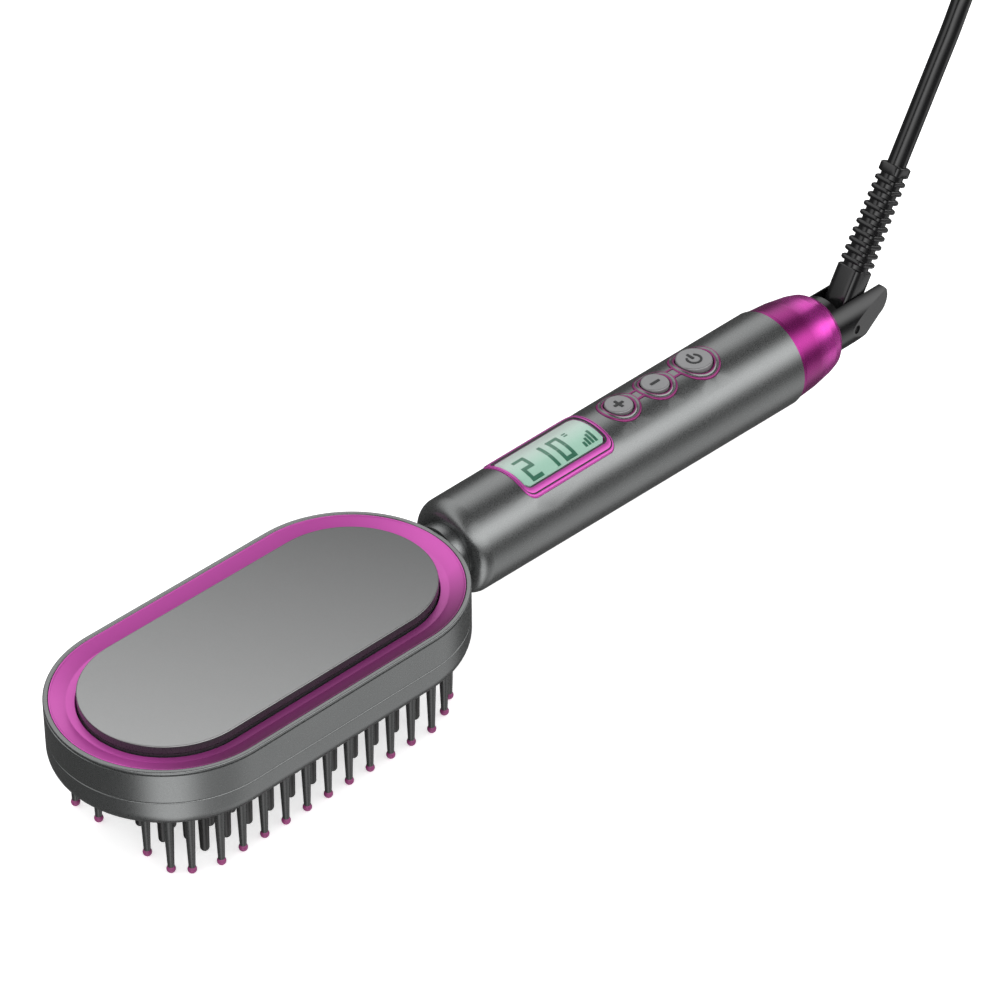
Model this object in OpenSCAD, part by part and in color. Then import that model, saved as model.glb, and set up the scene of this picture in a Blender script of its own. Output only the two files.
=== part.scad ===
// Steam hair straightening brush, bristles down, cord to the rear.
// +X runs along the handle towards the cord, +Z up, z = 0 is the plane of the bristle tips.
// The origin is under the middle of the length from the head's nose to the cord fork.

/* [Head] */
// Length of the head casing
head_len = 132; // [118:1:150]
// Width of the head casing
head_w = 67; // [63:0.5:74]
// Height of the head casing, bottom edge to rim
head_h = 19.6; // [18.5:0.1:24]
// Depth of the parting seam below the rim
seam_drop = 10.3; // [9:0.1:11.3]
// Wall of the two casings
shell_wall = 2; // [1.6:0.1:2.4]
// Rounding of the casing's bottom edge
edge_round = 5; // [4:0.5:5.5]
// Width of the grey rim around the accent channel
rim_w = 1.4; // [1.1:0.1:1.6]
// Width of the accent channel around the tank
channel_w = 7.4; // [6:0.1:9]
// Depth of the accent channel below the rim
channel_depth = 1.8; // [1.2:0.1:2.2]
// Wall of the accent tray
tray_wall = 1.2; // [1:0.1:1.5]

/* [Water tank] */
// Height of the water tank, lid included
tank_h = 9.5; // [8:0.25:10]
// How far the tank lid stands above the rim
tank_rise = 1.45; // [1:0.05:3]
// Wall of the water tank
tank_wall = 1.5; // [1.2:0.1:2]
// Thickness of the tank lid
lid_t = 2.6; // [2:0.1:3.2]

/* [Comb] */
// Height of the casing's bottom edge above the bristle tips
pin_reach = 19.9; // [14:0.1:26]
// Distance between bristle columns along the head
pin_pitch = 7.75; // [7:0.05:8]
// Columns of heated teeth on each side of the middle one
side_cols = 5; // [4:1:5]
// Distance of the outer bristle rows from the middle
pin_row_y = 26.4; // [26.1:0.1:26.8]
// Distance of the end bristles from the head's middle
pin_end_x = 51.3; // [51:0.1:52.5]
// Bristle diameter at its root
pin_root_d = 3; // [2.4:0.1:3.2]
// Bristle diameter at its ball
pin_neck_d = 1.9; // [1.5:0.1:2.2]
// Diameter of the ball tips
ball_d = 2.6; // [2.2:0.1:3]
// Diameter of a heated tooth at its root
tooth_root_d = 3.4; // [2.8:0.1:3.6]
// Diameter of a heated tooth at its round end
tooth_end_d = 2.6; // [2:0.1:2.8]
// How much shorter the heated teeth are than the bristles
tooth_short = 0.9; // [0.5:0.1:6]
// Distance between rows of heated teeth
tooth_row = 6.6; // [6:0.1:6.8]
// Length of the heater plate
heater_len = 96.4; // [94:0.1:96.6]
// Width of the heater plate
heater_w = 46.4; // [45:0.1:46.6]
// Thickness of the heater plate
heater_t = 3; // [2.4:0.1:3.2]

/* [Handle] */
// Height of the head's rim above the handle axis
axis_drop = 8.5; // [8:0.1:9.5]
// Gap between the head and the barrel, bridged by the neck
neck_gap = 3.5; // [2.5:0.5:8]
// Diameter of the neck
neck_d = 18.4; // [16:0.2:19]
// Length of the barrel
barrel_len = 130.5; // [126:0.5:155]
// Barrel diameter at its front
barrel_front_d = 29; // [28.4:0.1:31]
// Barrel diameter at its rear
barrel_rear_d = 30.4; // [29.6:0.1:32]
// Wall of the barrel
barrel_wall = 1.8; // [1.5:0.1:2]
// Rounding of the barrel's front end
barrel_round = 4.6; // [3:0.1:5]
// Width of the long cover under the barrel
cover_w = 17; // [14:0.5:18]

/* [Display and buttons] */
// Distance of the display's middle from the barrel's front end
display_at = 40.3; // [38:0.1:44]
// Length of the display window
window_len = 31.6; // [28:0.1:32]
// Width of the display window
window_w = 14.4; // [12:0.1:15]
// Frame width at the ends of the window
frame_end = 1.6; // [1.2:0.1:2]
// Frame width along the sides of the window
frame_side = 3.1; // [2.4:0.1:3.3]
// Distance of the plus button from the barrel's front end
plus_at = 68.4; // [67:0.1:70]
// Distance from the plus button to the minus button
button_step = 14.8; // [14:0.1:15.2]
// Distance from the minus button to the power button
power_step = 16.2; // [15.8:0.1:17]
// Diameter of the plus and minus buttons
button_d = 8.4; // [7:0.1:8.6]
// Diameter of the power button
power_d = 10.8; // [10:0.1:11]
// Width of the accent ring around each button
ring_w = 2; // [1.6:0.1:2.2]
// Travel of a button
button_travel = 0.5; // [0.3:0.1:0.6]

/* [Tail and cord] */
// Length of the tail cap
cap_len = 21; // [18:0.5:24]
// Diameter of the tail cap's rear face
cap_end_d = 21.8; // [21:0.2:23]
// Distance from the tail cap to the cord's hinge
hinge_off = 9; // [8.8:0.1:10]
// Distance from the tail cap to the middle of the fork's round end
fork_off = 20; // [19:0.5:24]
// Radius of the fork cheeks' round end
cheek_r = 4.8; // [4.4:0.1:5.4]
// Height of the round end's middle above the handle's axis
cheek_rise = 3.7; // [2.5:0.1:4]
// Width of the fork at its round end
fork_w = 12.8; // [12.6:0.1:14]
// Angle at which the cord stands at rest
rest_tilt = 60; // [55:1:70]
// Length of the strain relief from the hinge
relief_len = 49; // [46:0.5:54]
// Number of ribs on the strain relief
relief_ribs = 10; // [8:1:11]
// Width of the strain relief, which fits between the cheeks
relief_w = 9; // [8.6:0.1:9.2]
// Thickness of the strain relief in the plane of its swing
relief_deep = 8.2; // [7.8:0.1:8.4]
// Width of the strain relief at the cord's exit
relief_end_w = 8; // [7.6:0.1:9]
// Diameter of the cord
cord_d = 6; // [6:0.1:6.2]
// Turns of the stored coil
coil_turns = 6.5; // [6.5:1:7.5]
// Radius of the coil's outermost turn
coil_r = 48; // [47:0.5:52]
// Length of the plug body
plug_len = 35.5; // [33:0.5:38]
// Width of the plug body
plug_w = 26; // [25:0.5:27]
// Thickness of the plug body
plug_t = 13.7; // [13:0.1:14]
// Length of the plug's contact pins
blade_len = 19; // [18:0.5:19.5]

/* [Hidden] */

$fn = 48;
eps = 0.01;

// Clearances
fit = 0.1;         // between pieces fixed to each other
run = 0.3;         // between pieces that move past each other
pin_run = 0.05;    // around the hinge pin
screw_fit = 0.05;  // around a screw's shank

// Colours
shell_grey = [0.33, 0.34, 0.34];
plate_grey = [0.58, 0.59, 0.59];
accent = [0.68, 0.22, 0.56];
jet = [0.05, 0.05, 0.055];
steel = [0.72, 0.73, 0.75];
brass = [0.78, 0.62, 0.3];

// Heights
z_bot = pin_reach;
z_rim = z_bot + head_h;
z_seam = z_rim - seam_drop;
z_axis = z_rim - axis_drop;
z_channel = z_rim - channel_depth;
z_lid = z_rim + tank_rise;
z_tank = z_lid - tank_h;
z_well = z_tank - run;
z_tray = z_well - tray_wall;

// Head plan
shell_r = head_w / 2;
arc_x = head_len / 2 - shell_r;
inner_r = shell_r - shell_wall;
tray_r = shell_r - rim_w - fit;
tank_r = tray_r - channel_w;
well_r = tank_r + run;

// Places along X
fork_reach = head_len / 2 + neck_gap + barrel_len + cap_len + fork_off;
head_x = (head_len / 2 - fork_reach - cheek_r) / 2;
barrel_x = head_x + head_len / 2 + neck_gap;
cap_x = barrel_x + barrel_len;
fork_x = head_x + fork_reach;      // middle of the fork's round end
hinge_x = fork_x - fork_off + hinge_off;

// A stadium around the head's middle, as a flat outline
module stadium(r) {
    square([2 * arc_x, 2 * r], center = true);
    for (s = [-1, 1])
        translate([s * arc_x, 0]) circle(r);
}

// A flat profile (radius, height) carried round the head's stadium
module pill() {
    translate([head_x, 0, 0]) {
        for (s = [0, 1])
            rotate([0, 0, 180 * s])
                translate([arc_x, 0, 0]) rotate([0, 0, -90]) rotate_extrude(angle = 180) children();
        rotate([90, 0, 90])
            translate([0, 0, -arc_x]) linear_extrude(2 * arc_x) {
                children();
                mirror([1, 0, 0]) children();
            }
    }
}

// A block of the profile plane between two radii and two heights
module band(r0, r1, z0, z1) {
    translate([r0, z0]) square([r1 - r0, z1 - z0]);
}

// A rectangle with round corners
module rounded(lx, ly, r) {
    square([lx - 2 * r, ly], center = true);
    square([lx, ly - 2 * r], center = true);
    for (sx = [-1, 1], sy = [-1, 1])
        translate([sx * (lx / 2 - r), sy * (ly / 2 - r)]) circle(r);
}

// A prism of a flat outline placed at x, from z0 to z1
module prism(x, z0, z1) {
    translate([x, 0, z0]) linear_extrude(z1 - z0) children();
}

// A rod along X
module rod_x(r, x0, x1, y = 0, z = z_axis) {
    translate([x0, y, z]) rotate([0, 90, 0]) cylinder(r = r, h = x1 - x0);
}

// A rod along Z
module rod_z(r, x, y, z0, z1) {
    translate([x, y, z0]) cylinder(r = r, h = z1 - z0);
}

// ---------------------------------------------------------------- head casings

seam_groove = 0.35;
rim_edge = 0.5;
tongue_t = 1.1;
tongue_h = 1.3;
spigot_r = 5;
lip_z = z_bot + 1.8;           // underside of the lower casing's lip
lip_t = 2;
lip_r = tray_r - 4;            // opening inside the lip
recess_r = lip_r + 1.6;        // recess that takes the comb plate

module seam_cut() {
    translate([shell_r, z_seam]) rotate(45) square(seam_groove * sqrt(2), center = true);
}

module spigot_hole(r) {
    rod_x(r, head_x + head_len / 2 - 3 * shell_wall, head_x + head_len / 2 + 1);
}

module upper_shell() {
    ledge_z = z_channel - tray_wall - fit;
    color(shell_grey) difference() {
        pill() difference() {
            union() {
                band(inner_r, shell_r, z_seam, ledge_z);
                band(shell_r - rim_w, shell_r - rim_edge, ledge_z - eps, z_rim);
                band(shell_r - rim_w, shell_r, ledge_z - eps, z_rim - rim_edge);
                translate([shell_r - rim_edge, z_rim - rim_edge]) circle(rim_edge);
                band(inner_r - tongue_t, inner_r + eps, z_seam + tongue_h, z_seam + 2 * tongue_h);
                band(inner_r - tongue_t, inner_r - fit, z_seam - tongue_h, z_seam + 2 * tongue_h);
            }
            seam_cut();
        }
        spigot_hole(spigot_r + fit);
    }
}

module lower_shell() {
    color(shell_grey) difference() {
        pill() difference() {
            union() {
                band(0, shell_r, z_bot + edge_round, z_seam);
                band(0, shell_r - edge_round, z_bot, z_seam);
                translate([shell_r - edge_round, z_bot + edge_round]) circle(edge_round);
            }
            band(-1, inner_r, lip_z + lip_t, z_seam + 1);
            band(-1, lip_r, z_bot - 1, z_seam);
            band(-1, recess_r, z_bot - 1, lip_z);
            translate([0, z_seam]) square([2 * shell_r, edge_round]);
            seam_cut();
        }
        spigot_hole(spigot_r + fit);
        for (p = screw_spots)
            rod_z(boss_r + fit, head_x + p[0], p[1], z_bot, z_seam);
    }
}

// ---------------------------------------------------------------- tray and tank

boss_r = 2.1;
screw_r = 1.0;
pin_shift = -1;
screw_spots = [for (i = [-3.5, 0.5, 3.5], s = [-1, 1]) [pin_shift + i * pin_pitch, s * pin_row_y]];
valve_x = head_x + 20;
socket_r = 4.3;
nipple_r = 3.9;
nipple_h = 1.5;
nipple_foot = 0.3;
socket_floor = 1;

module accent_tray() {
    color(accent) difference() {
        union() {
            pill() {
                band(well_r, tray_r, z_channel - tray_wall, z_channel);
                polygon([[tray_r, z_channel - eps], [tray_r, z_rim - 0.15],
                    [tray_r - 0.3, z_rim - 0.15], [tray_r - 1.8, z_channel - eps]]);
                band(well_r, well_r + tray_wall, z_tray, z_channel - eps);
                band(0, well_r + eps, z_tray, z_well);
            }
            difference() {
                for (p = screw_spots)
                    rod_z(boss_r, head_x + p[0], p[1], lip_z + fit, z_channel - tray_wall + eps);
                translate([head_x - arc_x, -well_r - tray_wall / 2, z_tray + tray_wall / 2])
                    cube([2 * arc_x, 2 * well_r + tray_wall, tank_h]);
            }
            rod_z(socket_r + tray_wall, valve_x, 0, z_well - nipple_h - run - socket_floor, z_tray + eps);
        }
        rod_z(socket_r, valve_x, 0, z_well - nipple_h - run, z_well + 1);
        rod_z(feed_r + fit, valve_x, 0, z_tray - nipple_h - 1, z_well);
        for (p = screw_spots)
            rod_z(screw_r + screw_fit, head_x + p[0], p[1], lip_z, lip_z + screw_len);
    }
}

module tank_body() {
    top = z_lid - lid_t;
    color("lightgrey") difference() {
        union() {
            pill() {
                band(tank_r - tank_wall, tank_r, z_tank, top);
                band(0, tank_r, z_tank, z_tank + tank_wall);
            }
            rod_z(nipple_r - 1.1, valve_x, 0, z_tank - nipple_h, z_tank + tank_wall);
            rod_z(nipple_r - 0.3, valve_x, 0, z_tank - nipple_h, z_tank - nipple_h + nipple_foot);
        }
        rod_z(valve_r + fit, valve_x, 0, z_tank - nipple_h - 1, top);
        rod_z(plug_hole_r, filler_x, 0, z_tank - 1, top);
    }
}

module tank_lid() {
    color(plate_grey) pill() {
        band(0, tank_r - rim_edge, z_lid - lid_t, z_lid);
        band(0, tank_r, z_lid - lid_t, z_lid - rim_edge);
        translate([tank_r - rim_edge, z_lid - rim_edge]) circle(rim_edge);
        band(tank_r - 2 * tank_wall - fit, tank_r - tank_wall - fit,
            z_lid - lid_t - tank_wall, z_lid - lid_t + eps);
    }
}

filler_x = head_x - 36;
plug_hole_r = 5;

module tank_plug() {
    color(jet) {
        rod_z(plug_hole_r - fit, filler_x, 0, z_tank, z_tank + tank_wall + 1);
        rod_z(plug_hole_r + 1, filler_x, 0, z_tank + tank_wall + fit / 2, z_tank + tank_wall + 1.2);
    }
}

valve_r = 1.5;

module tank_valve() {
    color(steel) {
        rod_z(valve_r, valve_x, 0, z_tank - nipple_h + 0.4, z_tank + tank_wall + 1.2);
        rod_z(valve_r + 1.4, valve_x, 0, z_tank + tank_wall + fit / 2, z_tank + tank_wall + 1.2);
    }
}

seal_r = 0.5;

module tank_seal() {
    color(jet) translate([valve_x, 0, z_tank - (nipple_h - nipple_foot) / 2])
        rotate_extrude() translate([nipple_r - 1.1 + seal_r, 0]) circle(seal_r, $fn = 24);
}

// ---------------------------------------------------------------- steam and heat

heater_z = z_bot + 0.9;
heater_top = heater_z + heater_t;
flange_t = 1.1;
plate_top = heater_top + flange_t;
plate_round = 15;
feed_r = 1.9;
cover_h = 2.2;
cover_len = 50;
cover_wid = 28;

module feed_tube() {
    color("white") difference() {
        rod_z(feed_r, valve_x, 0, plate_top + cover_h, z_well - nipple_h - run - fit);
        rod_z(feed_r - 0.7, valve_x, 0, plate_top, z_well);
    }
}

module steam_cover() {
    color(steel) difference() {
        prism(head_x, plate_top, plate_top + cover_h) rounded(cover_len, cover_wid, 5);
        prism(head_x, plate_top - 1, plate_top + cover_h - 0.8)
            rounded(cover_len - 2.4, cover_wid - 2.4, 3.8);
        rod_z(feed_r - 0.7, valve_x, 0, plate_top, plate_top + cover_h + 1);
    }
}

vent_r = 0.8;
vent_spots = [for (i = [-2.5:1:2.5], s = [-1, 1]) [i * pin_pitch, s * tooth_row / 2]];

module heater_plate() {
    color([0.16, 0.16, 0.17]) difference() {
        union() {
            prism(head_x, heater_z, plate_top) rounded(heater_len, heater_w, plate_round);
            prism(head_x, heater_top, plate_top)
                rounded(heater_len + 3, heater_w + 1.8, plate_round + 0.9);
        }
        for (p = vent_spots)
            rod_z(vent_r, head_x + p[0], p[1], heater_z - 1, plate_top + 1);
    }
}

bar_t = 0.7;
bar_w = 2.2;
tooth_tip = tooth_short;
tooth_rows = 3;
end_tooth_x = 45.2;
end_tooth_y = 9.3;

module tooth(x, y) {
    r = tooth_end_d / 2;
    translate([x, y, tooth_tip + r]) {
        sphere(r, $fn = 24);
        cylinder(r1 = r, r2 = tooth_root_d / 2, h = heater_z - tooth_tip - r, $fn = 24);
    }
}

module tooth_bar(x, ys) {
    reach = max(ys);
    translate([x - bar_w / 2, -reach, heater_z - bar_t]) cube([bar_w, 2 * reach, bar_t]);
    for (y = ys)
        tooth(x, y);
}

module heated_teeth() {
    color(jet) {
        for (i = [-side_cols:side_cols])
            tooth_bar(head_x + pin_shift + i * pin_pitch,
                [for (j = [-tooth_rows:tooth_rows]) j * tooth_row]);
        for (s = [-1, 1])
            tooth_bar(head_x + s * end_tooth_x, [-end_tooth_y, 0, end_tooth_y]);
    }
}

ptc_len = 16;
ptc_w = 22;
ptc_t = 2;
ptc_at = cover_len / 2 + 1 + ptc_len / 2;

module ptc_heaters() {
    color("ivory") for (s = [-1, 1])
        prism(head_x + s * ptc_at, plate_top, plate_top + ptc_t) square([ptc_len, ptc_w], center = true);
}

clamp_t = 0.6;

module heater_clamps() {
    foot = 3;
    color(steel) for (s = [-1, 1])
        translate([head_x + s * ptc_at, 0, 0]) {
            prism(0, plate_top + ptc_t, plate_top + ptc_t + clamp_t)
                square([ptc_len - 6, ptc_w + 2 * foot], center = true);
            for (t = [-1, 1])
                translate([0, t * (ptc_w / 2 + foot / 2 + fit / 2), 0])
                    prism(0, plate_top, plate_top + ptc_t + clamp_t)
                        square([ptc_len - 6, foot - fit], center = true);
        }
}

bead_r = 1.2;
lead_r = 0.5;

module thermistor() {
    y = cover_wid / 2 + 2 * bead_r;
    color("darkorange") {
        rod_x(bead_r, head_x - 12, head_x - 9, y, plate_top + bead_r);
        rod_x(lead_r, head_x - 9 - eps, head_x - 2, y, plate_top + bead_r);
    }
}

fuse_r = 1.6;

module thermal_fuse() {
    y = -cover_wid / 2 - 2 * fuse_r;
    color("white") rod_x(fuse_r, head_x - 5, head_x + 5, y, plate_top + fuse_r);
    color(steel) {
        rod_x(lead_r, head_x - 11, head_x - 5, y, plate_top + fuse_r);
        rod_x(lead_r, head_x + 5, head_x + 11, y, plate_top + fuse_r);
    }
}

// ---------------------------------------------------------------- comb plate and bristles

plate_low = z_bot + 0.3;
deck_top = heater_top;
end_pin_y = [9.8, 19.3];
corner_pin = [pin_pitch * (side_cols + 1), 23.4];
pin_spots = [
    for (i = [-side_cols:side_cols], s = [-1, 1]) [pin_shift + i * pin_pitch, s * pin_row_y],
    for (sx = [-1, 1], sy = [-1, 1]) [sx * corner_pin[0] + pin_shift, sy * corner_pin[1]],
    for (sx = [-1, 1], sy = [-1, 1], y = end_pin_y) [sx * pin_end_x, sy * y]];

module pin_plate() {
    color(shell_grey) difference() {
        union() {
            prism(head_x, plate_low, lip_z) stadium(recess_r - fit);
            prism(head_x, plate_low, deck_top) stadium(lip_r - fit);
        }
        prism(head_x, plate_low - 1, deck_top + 1)
            rounded(heater_len + 2 * fit, heater_w + 2 * fit, plate_round + fit);
        for (p = screw_spots) {
            rod_z(boss_r + fit, head_x + p[0], p[1], lip_z, deck_top + 1);
            rod_z(screw_r + screw_fit, head_x + p[0], p[1], plate_low - 1, lip_z + 1);
            rod_z(screw_head_r + fit, head_x + p[0], p[1], plate_low - 1, plate_low + screw_head_t);
        }
        for (p = pin_spots)
            rod_z(pin_root_d / 2, head_x + p[0], p[1], plate_low - 1, plate_low + pin_seat);
    }
}

pin_seat = 1;

module outer_pins() {
    z_ball = ball_d / 2;
    top = plate_low + pin_seat;
    color(shell_grey) for (p = pin_spots)
        translate([head_x + p[0], p[1], 0]) {
            translate([0, 0, z_ball + ball_seat])
                cylinder(d1 = pin_neck_d, d2 = pin_root_d, h = plate_low - z_ball - ball_seat, $fn = 24);
            translate([0, 0, plate_low]) cylinder(d = pin_root_d, h = top - plate_low, $fn = 24);
        }
}

ball_seat = sqrt(pow(ball_d / 2, 2) - pow(pin_neck_d / 2, 2));

module pin_tips() {
    color(accent) for (p = pin_spots)
        translate([head_x + p[0], p[1], ball_d / 2]) intersection() {
            sphere(d = ball_d, $fn = 24);
            translate([0, 0, ball_seat - ball_d]) cylinder(d = 2 * ball_d, h = ball_d);
        }
}

screw_head_r = 1.75;
screw_head_t = 0.7;
screw_len = 7;

module head_screws() {
    color(steel) for (p = screw_spots)
        difference() {
            union() {
                rod_z(screw_head_r, head_x + p[0], p[1], plate_low, plate_low + screw_head_t);
                rod_z(screw_r, head_x + p[0], p[1], plate_low, lip_z + screw_len - 0.5);
            }
            translate([head_x + p[0], p[1], plate_low - eps])
                for (a = [0, 90])
                    rotate(a) translate([-1, -0.22, 0]) cube([2, 0.44, 0.4]);
        }
}

// ---------------------------------------------------------------- neck and barrel

bore_r = 3.8;

module neck_collar() {
    head_end = head_x + head_len / 2;
    plate_z = z_bot + 5;
    plate_x = head_end - 3.6 * shell_wall;
    color(shell_grey) difference() {
        union() {
            difference() {
                rod_x(neck_d / 2, head_end - 10, barrel_x + barrel_wall + fit);
                prism(head_x, z_bot - 5, z_rim + 5) stadium(shell_r + fit);
            }
            rod_x(spigot_r, plate_x, barrel_x + 1);
            translate([plate_x, -9, plate_z]) cube([1.6, 18, z_channel - tray_wall - fit - plate_z]);
            rod_x(neck_d / 2 + 1, barrel_x + barrel_wall + fit, barrel_x + barrel_wall + fit + 1.5);
        }
        rod_x(bore_r, head_end - 12, barrel_x + 10);
    }
}

module wiring_loom() {
    wire_r = 0.8;
    x0 = head_x + ptc_at + ptc_len / 2 - 2;
    x1 = barrel_x + board_from + plug_in;
    for (y = [-1.9, 0, 1.9])
        color(y == 0 ? "white" : "firebrick") rod_x(wire_r, x0, x1, y, z_axis - 2);
}

function barrel_r(x) = (barrel_front_d + (barrel_rear_d - barrel_front_d) * (x - barrel_x) / barrel_len) / 2;

// The barrel's full round, larger by g on every side but its ends
module barrel_solid(g, x0 = 0) {
    rf = barrel_front_d / 2 + g;
    rr = barrel_rear_d / 2 + g;
    bend = barrel_round + g;
    translate([barrel_x, 0, z_axis]) rotate([0, 90, 0]) rotate_extrude() {
        polygon([[0, x0], [rf - bend, x0], [rf - bend, x0 + bend], [rf, x0 + bend],
            [rr, barrel_len], [0, barrel_len]]);
        intersection() {
            translate([rf - bend, x0 + bend]) circle(bend);
            translate([0, x0]) square([rf, 2 * bend]);
        }
    }
}

display_x = barrel_x + display_at;
plus_x = barrel_x + plus_at;
minus_x = plus_x + button_step;
power_x = minus_x + power_step;
buttons = [[plus_x, button_d / 2], [minus_x, button_d / 2], [power_x, power_d / 2]];
pocket = 1.05;       // depth of the pockets that take the two frames
proud = 0.3;         // how far the frames stand out of the barrel
z_over = z_axis + barrel_rear_d;    // above everything on the handle
board_from = 16;
board_to = barrel_len - 14;
board_z = z_axis + 3;
board_t = 1.6;
board_w = 23.2;
board_len = board_to - board_from;
plug_in = 6;         // from the board's front edge to the wires' connector
plug_size = [15, 12, 6];
chip_size = [9, 9, 2];
relay_size = [10, 16, 9];
choke_size = [13, 6, 7];
ledge_t = 1.4;       // ledges inside the barrel that carry the board
post_r = 2.7;
post_x = cap_x - 9;
cover_from = 9;
cover_to = 6.5;

module display_outline(g) {
    rounded(window_len + 2 * frame_end + 2 * g, window_w + 2 * frame_side + 2 * g, 3 + g);
}

module button_outline(g) {
    for (b = buttons)
        translate([b[0] - plus_x, 0]) circle(b[1] + run + ring_w + g);
    translate([0, -2 - g]) square([power_x - plus_x, 4 + 2 * g]);
}

// The post that takes the cover's screw
module screw_post() {
    rod_z(post_r, post_x, 0, z_axis - barrel_r(post_x) + barrel_wall + 0.4, z_axis + barrel_rear_d);
}

module barrel() {
    color(shell_grey) difference() {
        barrel_solid(0);
        difference() {
            barrel_solid(-barrel_wall, barrel_wall);
            for (s = [-1, 1])
                translate([barrel_x + board_from, s * board_w / 2 - 1.6, board_z - fit - ledge_t])
                    cube([board_len, 4, ledge_t]);
            screw_post();
        }
        difference() {
            prism(display_x, z_axis, z_over) display_outline(fit);
            barrel_solid(-pocket);
        }
        prism(display_x, z_axis, z_over) rounded(window_len - 1.6, window_w - 1.6, 1);
        difference() {
            prism(plus_x, z_axis, z_over) button_outline(fit);
            barrel_solid(-pocket);
        }
        for (b = buttons)
            rod_z(b[1] + run, b[0], 0, z_axis, z_over);
        difference() {
            cover_block(fit);
            screw_post();
        }
        rod_x(neck_d / 2 + fit, barrel_x - 1, barrel_x + 2 * barrel_wall);
        rod_z(screw_r + screw_fit, post_x, 0, z_axis - barrel_rear_d, z_axis - 2);
    }
}

// The space of the long cover, larger by g at its edges
module cover_block(g) {
    translate([barrel_x + cover_from - g, -cover_w / 2 - g, z_axis - barrel_rear_d])
        cube([barrel_len - cover_from - cover_to + 2 * g, cover_w + 2 * g, barrel_rear_d - cover_w / 2]);
}

module handle_cover() {
    tab = 3;
    color(shell_grey) difference() {
        union() {
            intersection() {
                difference() {
                    barrel_solid(0);
                    barrel_solid(-barrel_wall, barrel_wall);
                }
                cover_block(0);
            }
            intersection() {
                difference() {
                    barrel_solid(-barrel_wall - fit, barrel_wall);
                    barrel_solid(-barrel_wall - 1.2, barrel_wall);
                }
                translate([barrel_x + cover_from - tab, -cover_w / 4, z_axis - barrel_rear_d])
                    cube([2 * tab, cover_w / 2, barrel_rear_d - cover_w / 2]);
            }
            translate([barrel_x + cover_from + fit, -cover_w / 4, z_axis - barrel_r(barrel_x) + 1])
                cube([tab - fit, cover_w / 2, barrel_wall]);
        }
        rod_z(screw_r + screw_fit, post_x, 0, z_axis - barrel_rear_d, z_axis);
        rod_z(2 + fit, post_x, 0, z_axis - barrel_rear_d, z_axis - barrel_r(post_x) + 1);
    }
}

module cover_screw() {
    color(steel) difference() {
        union() {
            rod_z(2, post_x, 0, z_axis - barrel_r(post_x) + 0.2, z_axis - barrel_r(post_x) + 1);
            rod_z(screw_r, post_x, 0, z_axis - barrel_r(post_x) + 0.2, z_axis - 4);
        }
        translate([post_x, 0, z_axis - barrel_r(post_x)])
            for (a = [0, 90])
                rotate(a) translate([-1.2, -0.25, 0]) cube([2.4, 0.5, 0.6]);
    }
}

// ---------------------------------------------------------------- display and buttons

module display_frame() {
    color(accent) intersection() {
        difference() {
            barrel_solid(proud);
            barrel_solid(-pocket + fit);
        }
        prism(display_x, z_axis, z_over) difference() {
            display_outline(0);
            rounded(window_len + 2 * fit, window_w + 2 * fit, 1.5);
        }
    }
}

module display_lens() {
    color([0.75, 0.8, 0.78]) intersection() {
        difference() {
            barrel_solid(0.1);
            barrel_solid(-pocket + fit);
        }
        prism(display_x, z_axis, z_over) rounded(window_len, window_w, 1.4);
    }
}

module lcd_module() {
    color("darkseagreen") prism(display_x, board_z + board_t, z_axis + 9.4)
        square([window_len - 1, window_w + 0.8], center = true);
}

module button_bezel() {
    color(accent) difference() {
        intersection() {
            difference() {
                barrel_solid(proud);
                barrel_solid(-pocket + fit);
            }
            prism(plus_x, z_axis, z_over) button_outline(0);
        }
        for (b = buttons)
            rod_z(b[1] + run, b[0], 0, z_axis, z_over);
    }
}

button_proud = 0.7;
button_foot = z_axis + 8.9;

module button(b) {
    top = z_axis + barrel_r(b[0]) + button_proud;
    color(plate_grey) {
        rod_z(b[1], b[0], 0, z_axis + 10.1, top - 0.4);
        rod_z(b[1] - 0.4, b[0], 0, z_axis + 10.1, top);
        rod_z(b[1] + 0.8, b[0], 0, z_axis + 9.7, z_axis + 10.5);
        rod_z(1.6, b[0], 0, button_foot, z_axis + 10);
    }
}

module plus_button() button(buttons[0]);

module minus_button() button(buttons[1]);

module power_button() button(buttons[2]);

module button_switches() {
    switch_w = 6.2;
    color([0.2, 0.2, 0.22]) for (b = buttons) {
        prism(b[0], board_z + board_t, board_z + board_t + 2.6) square(switch_w, center = true);
        rod_z(1.7, b[0], 0, board_z + board_t + 2.5, button_foot - button_travel - fit);
    }
}

module main_board() {
    color("darkgreen") translate([barrel_x + board_from, -board_w / 2, board_z])
        cube([board_len, board_w, board_t]);
}

// A block hanging under the board from x, its middle at y
module board_block(x, y, size) {
    translate([x, y - size[1] / 2, board_z - size[2]]) cube(size);
}

module board_parts() {
    x0 = barrel_x + board_from;
    color([0.12, 0.12, 0.13]) {
        board_block(x0 + plug_in, 0, plug_size);
        board_block(x0 + 0.28 * board_len, 0, chip_size);
        board_block(x0 + 0.82 * board_len, 0, relay_size);
    }
    color("goldenrod") {
        board_block(x0 + 0.5 * board_len, -choke_size[1] / 2, choke_size);
        rod_z(3.2, x0 + 0.7 * board_len, 3, board_z - relay_size[2] + 1, board_z);
    }
}

// ---------------------------------------------------------------- tail cap and swivel

cap_wall = 2.4;
cap_bore_r = 9.6;
sleeve_r = barrel_rear_d / 2 - barrel_wall - fit;
neck_r = 5;
shaft_r = 4;
groove_r = 3.6;
clip_r = 8.4;
clip_t = 1.6;
clip_x = cap_x + cap_len - cap_wall - run;
ring_x = cap_x + 3;

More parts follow.
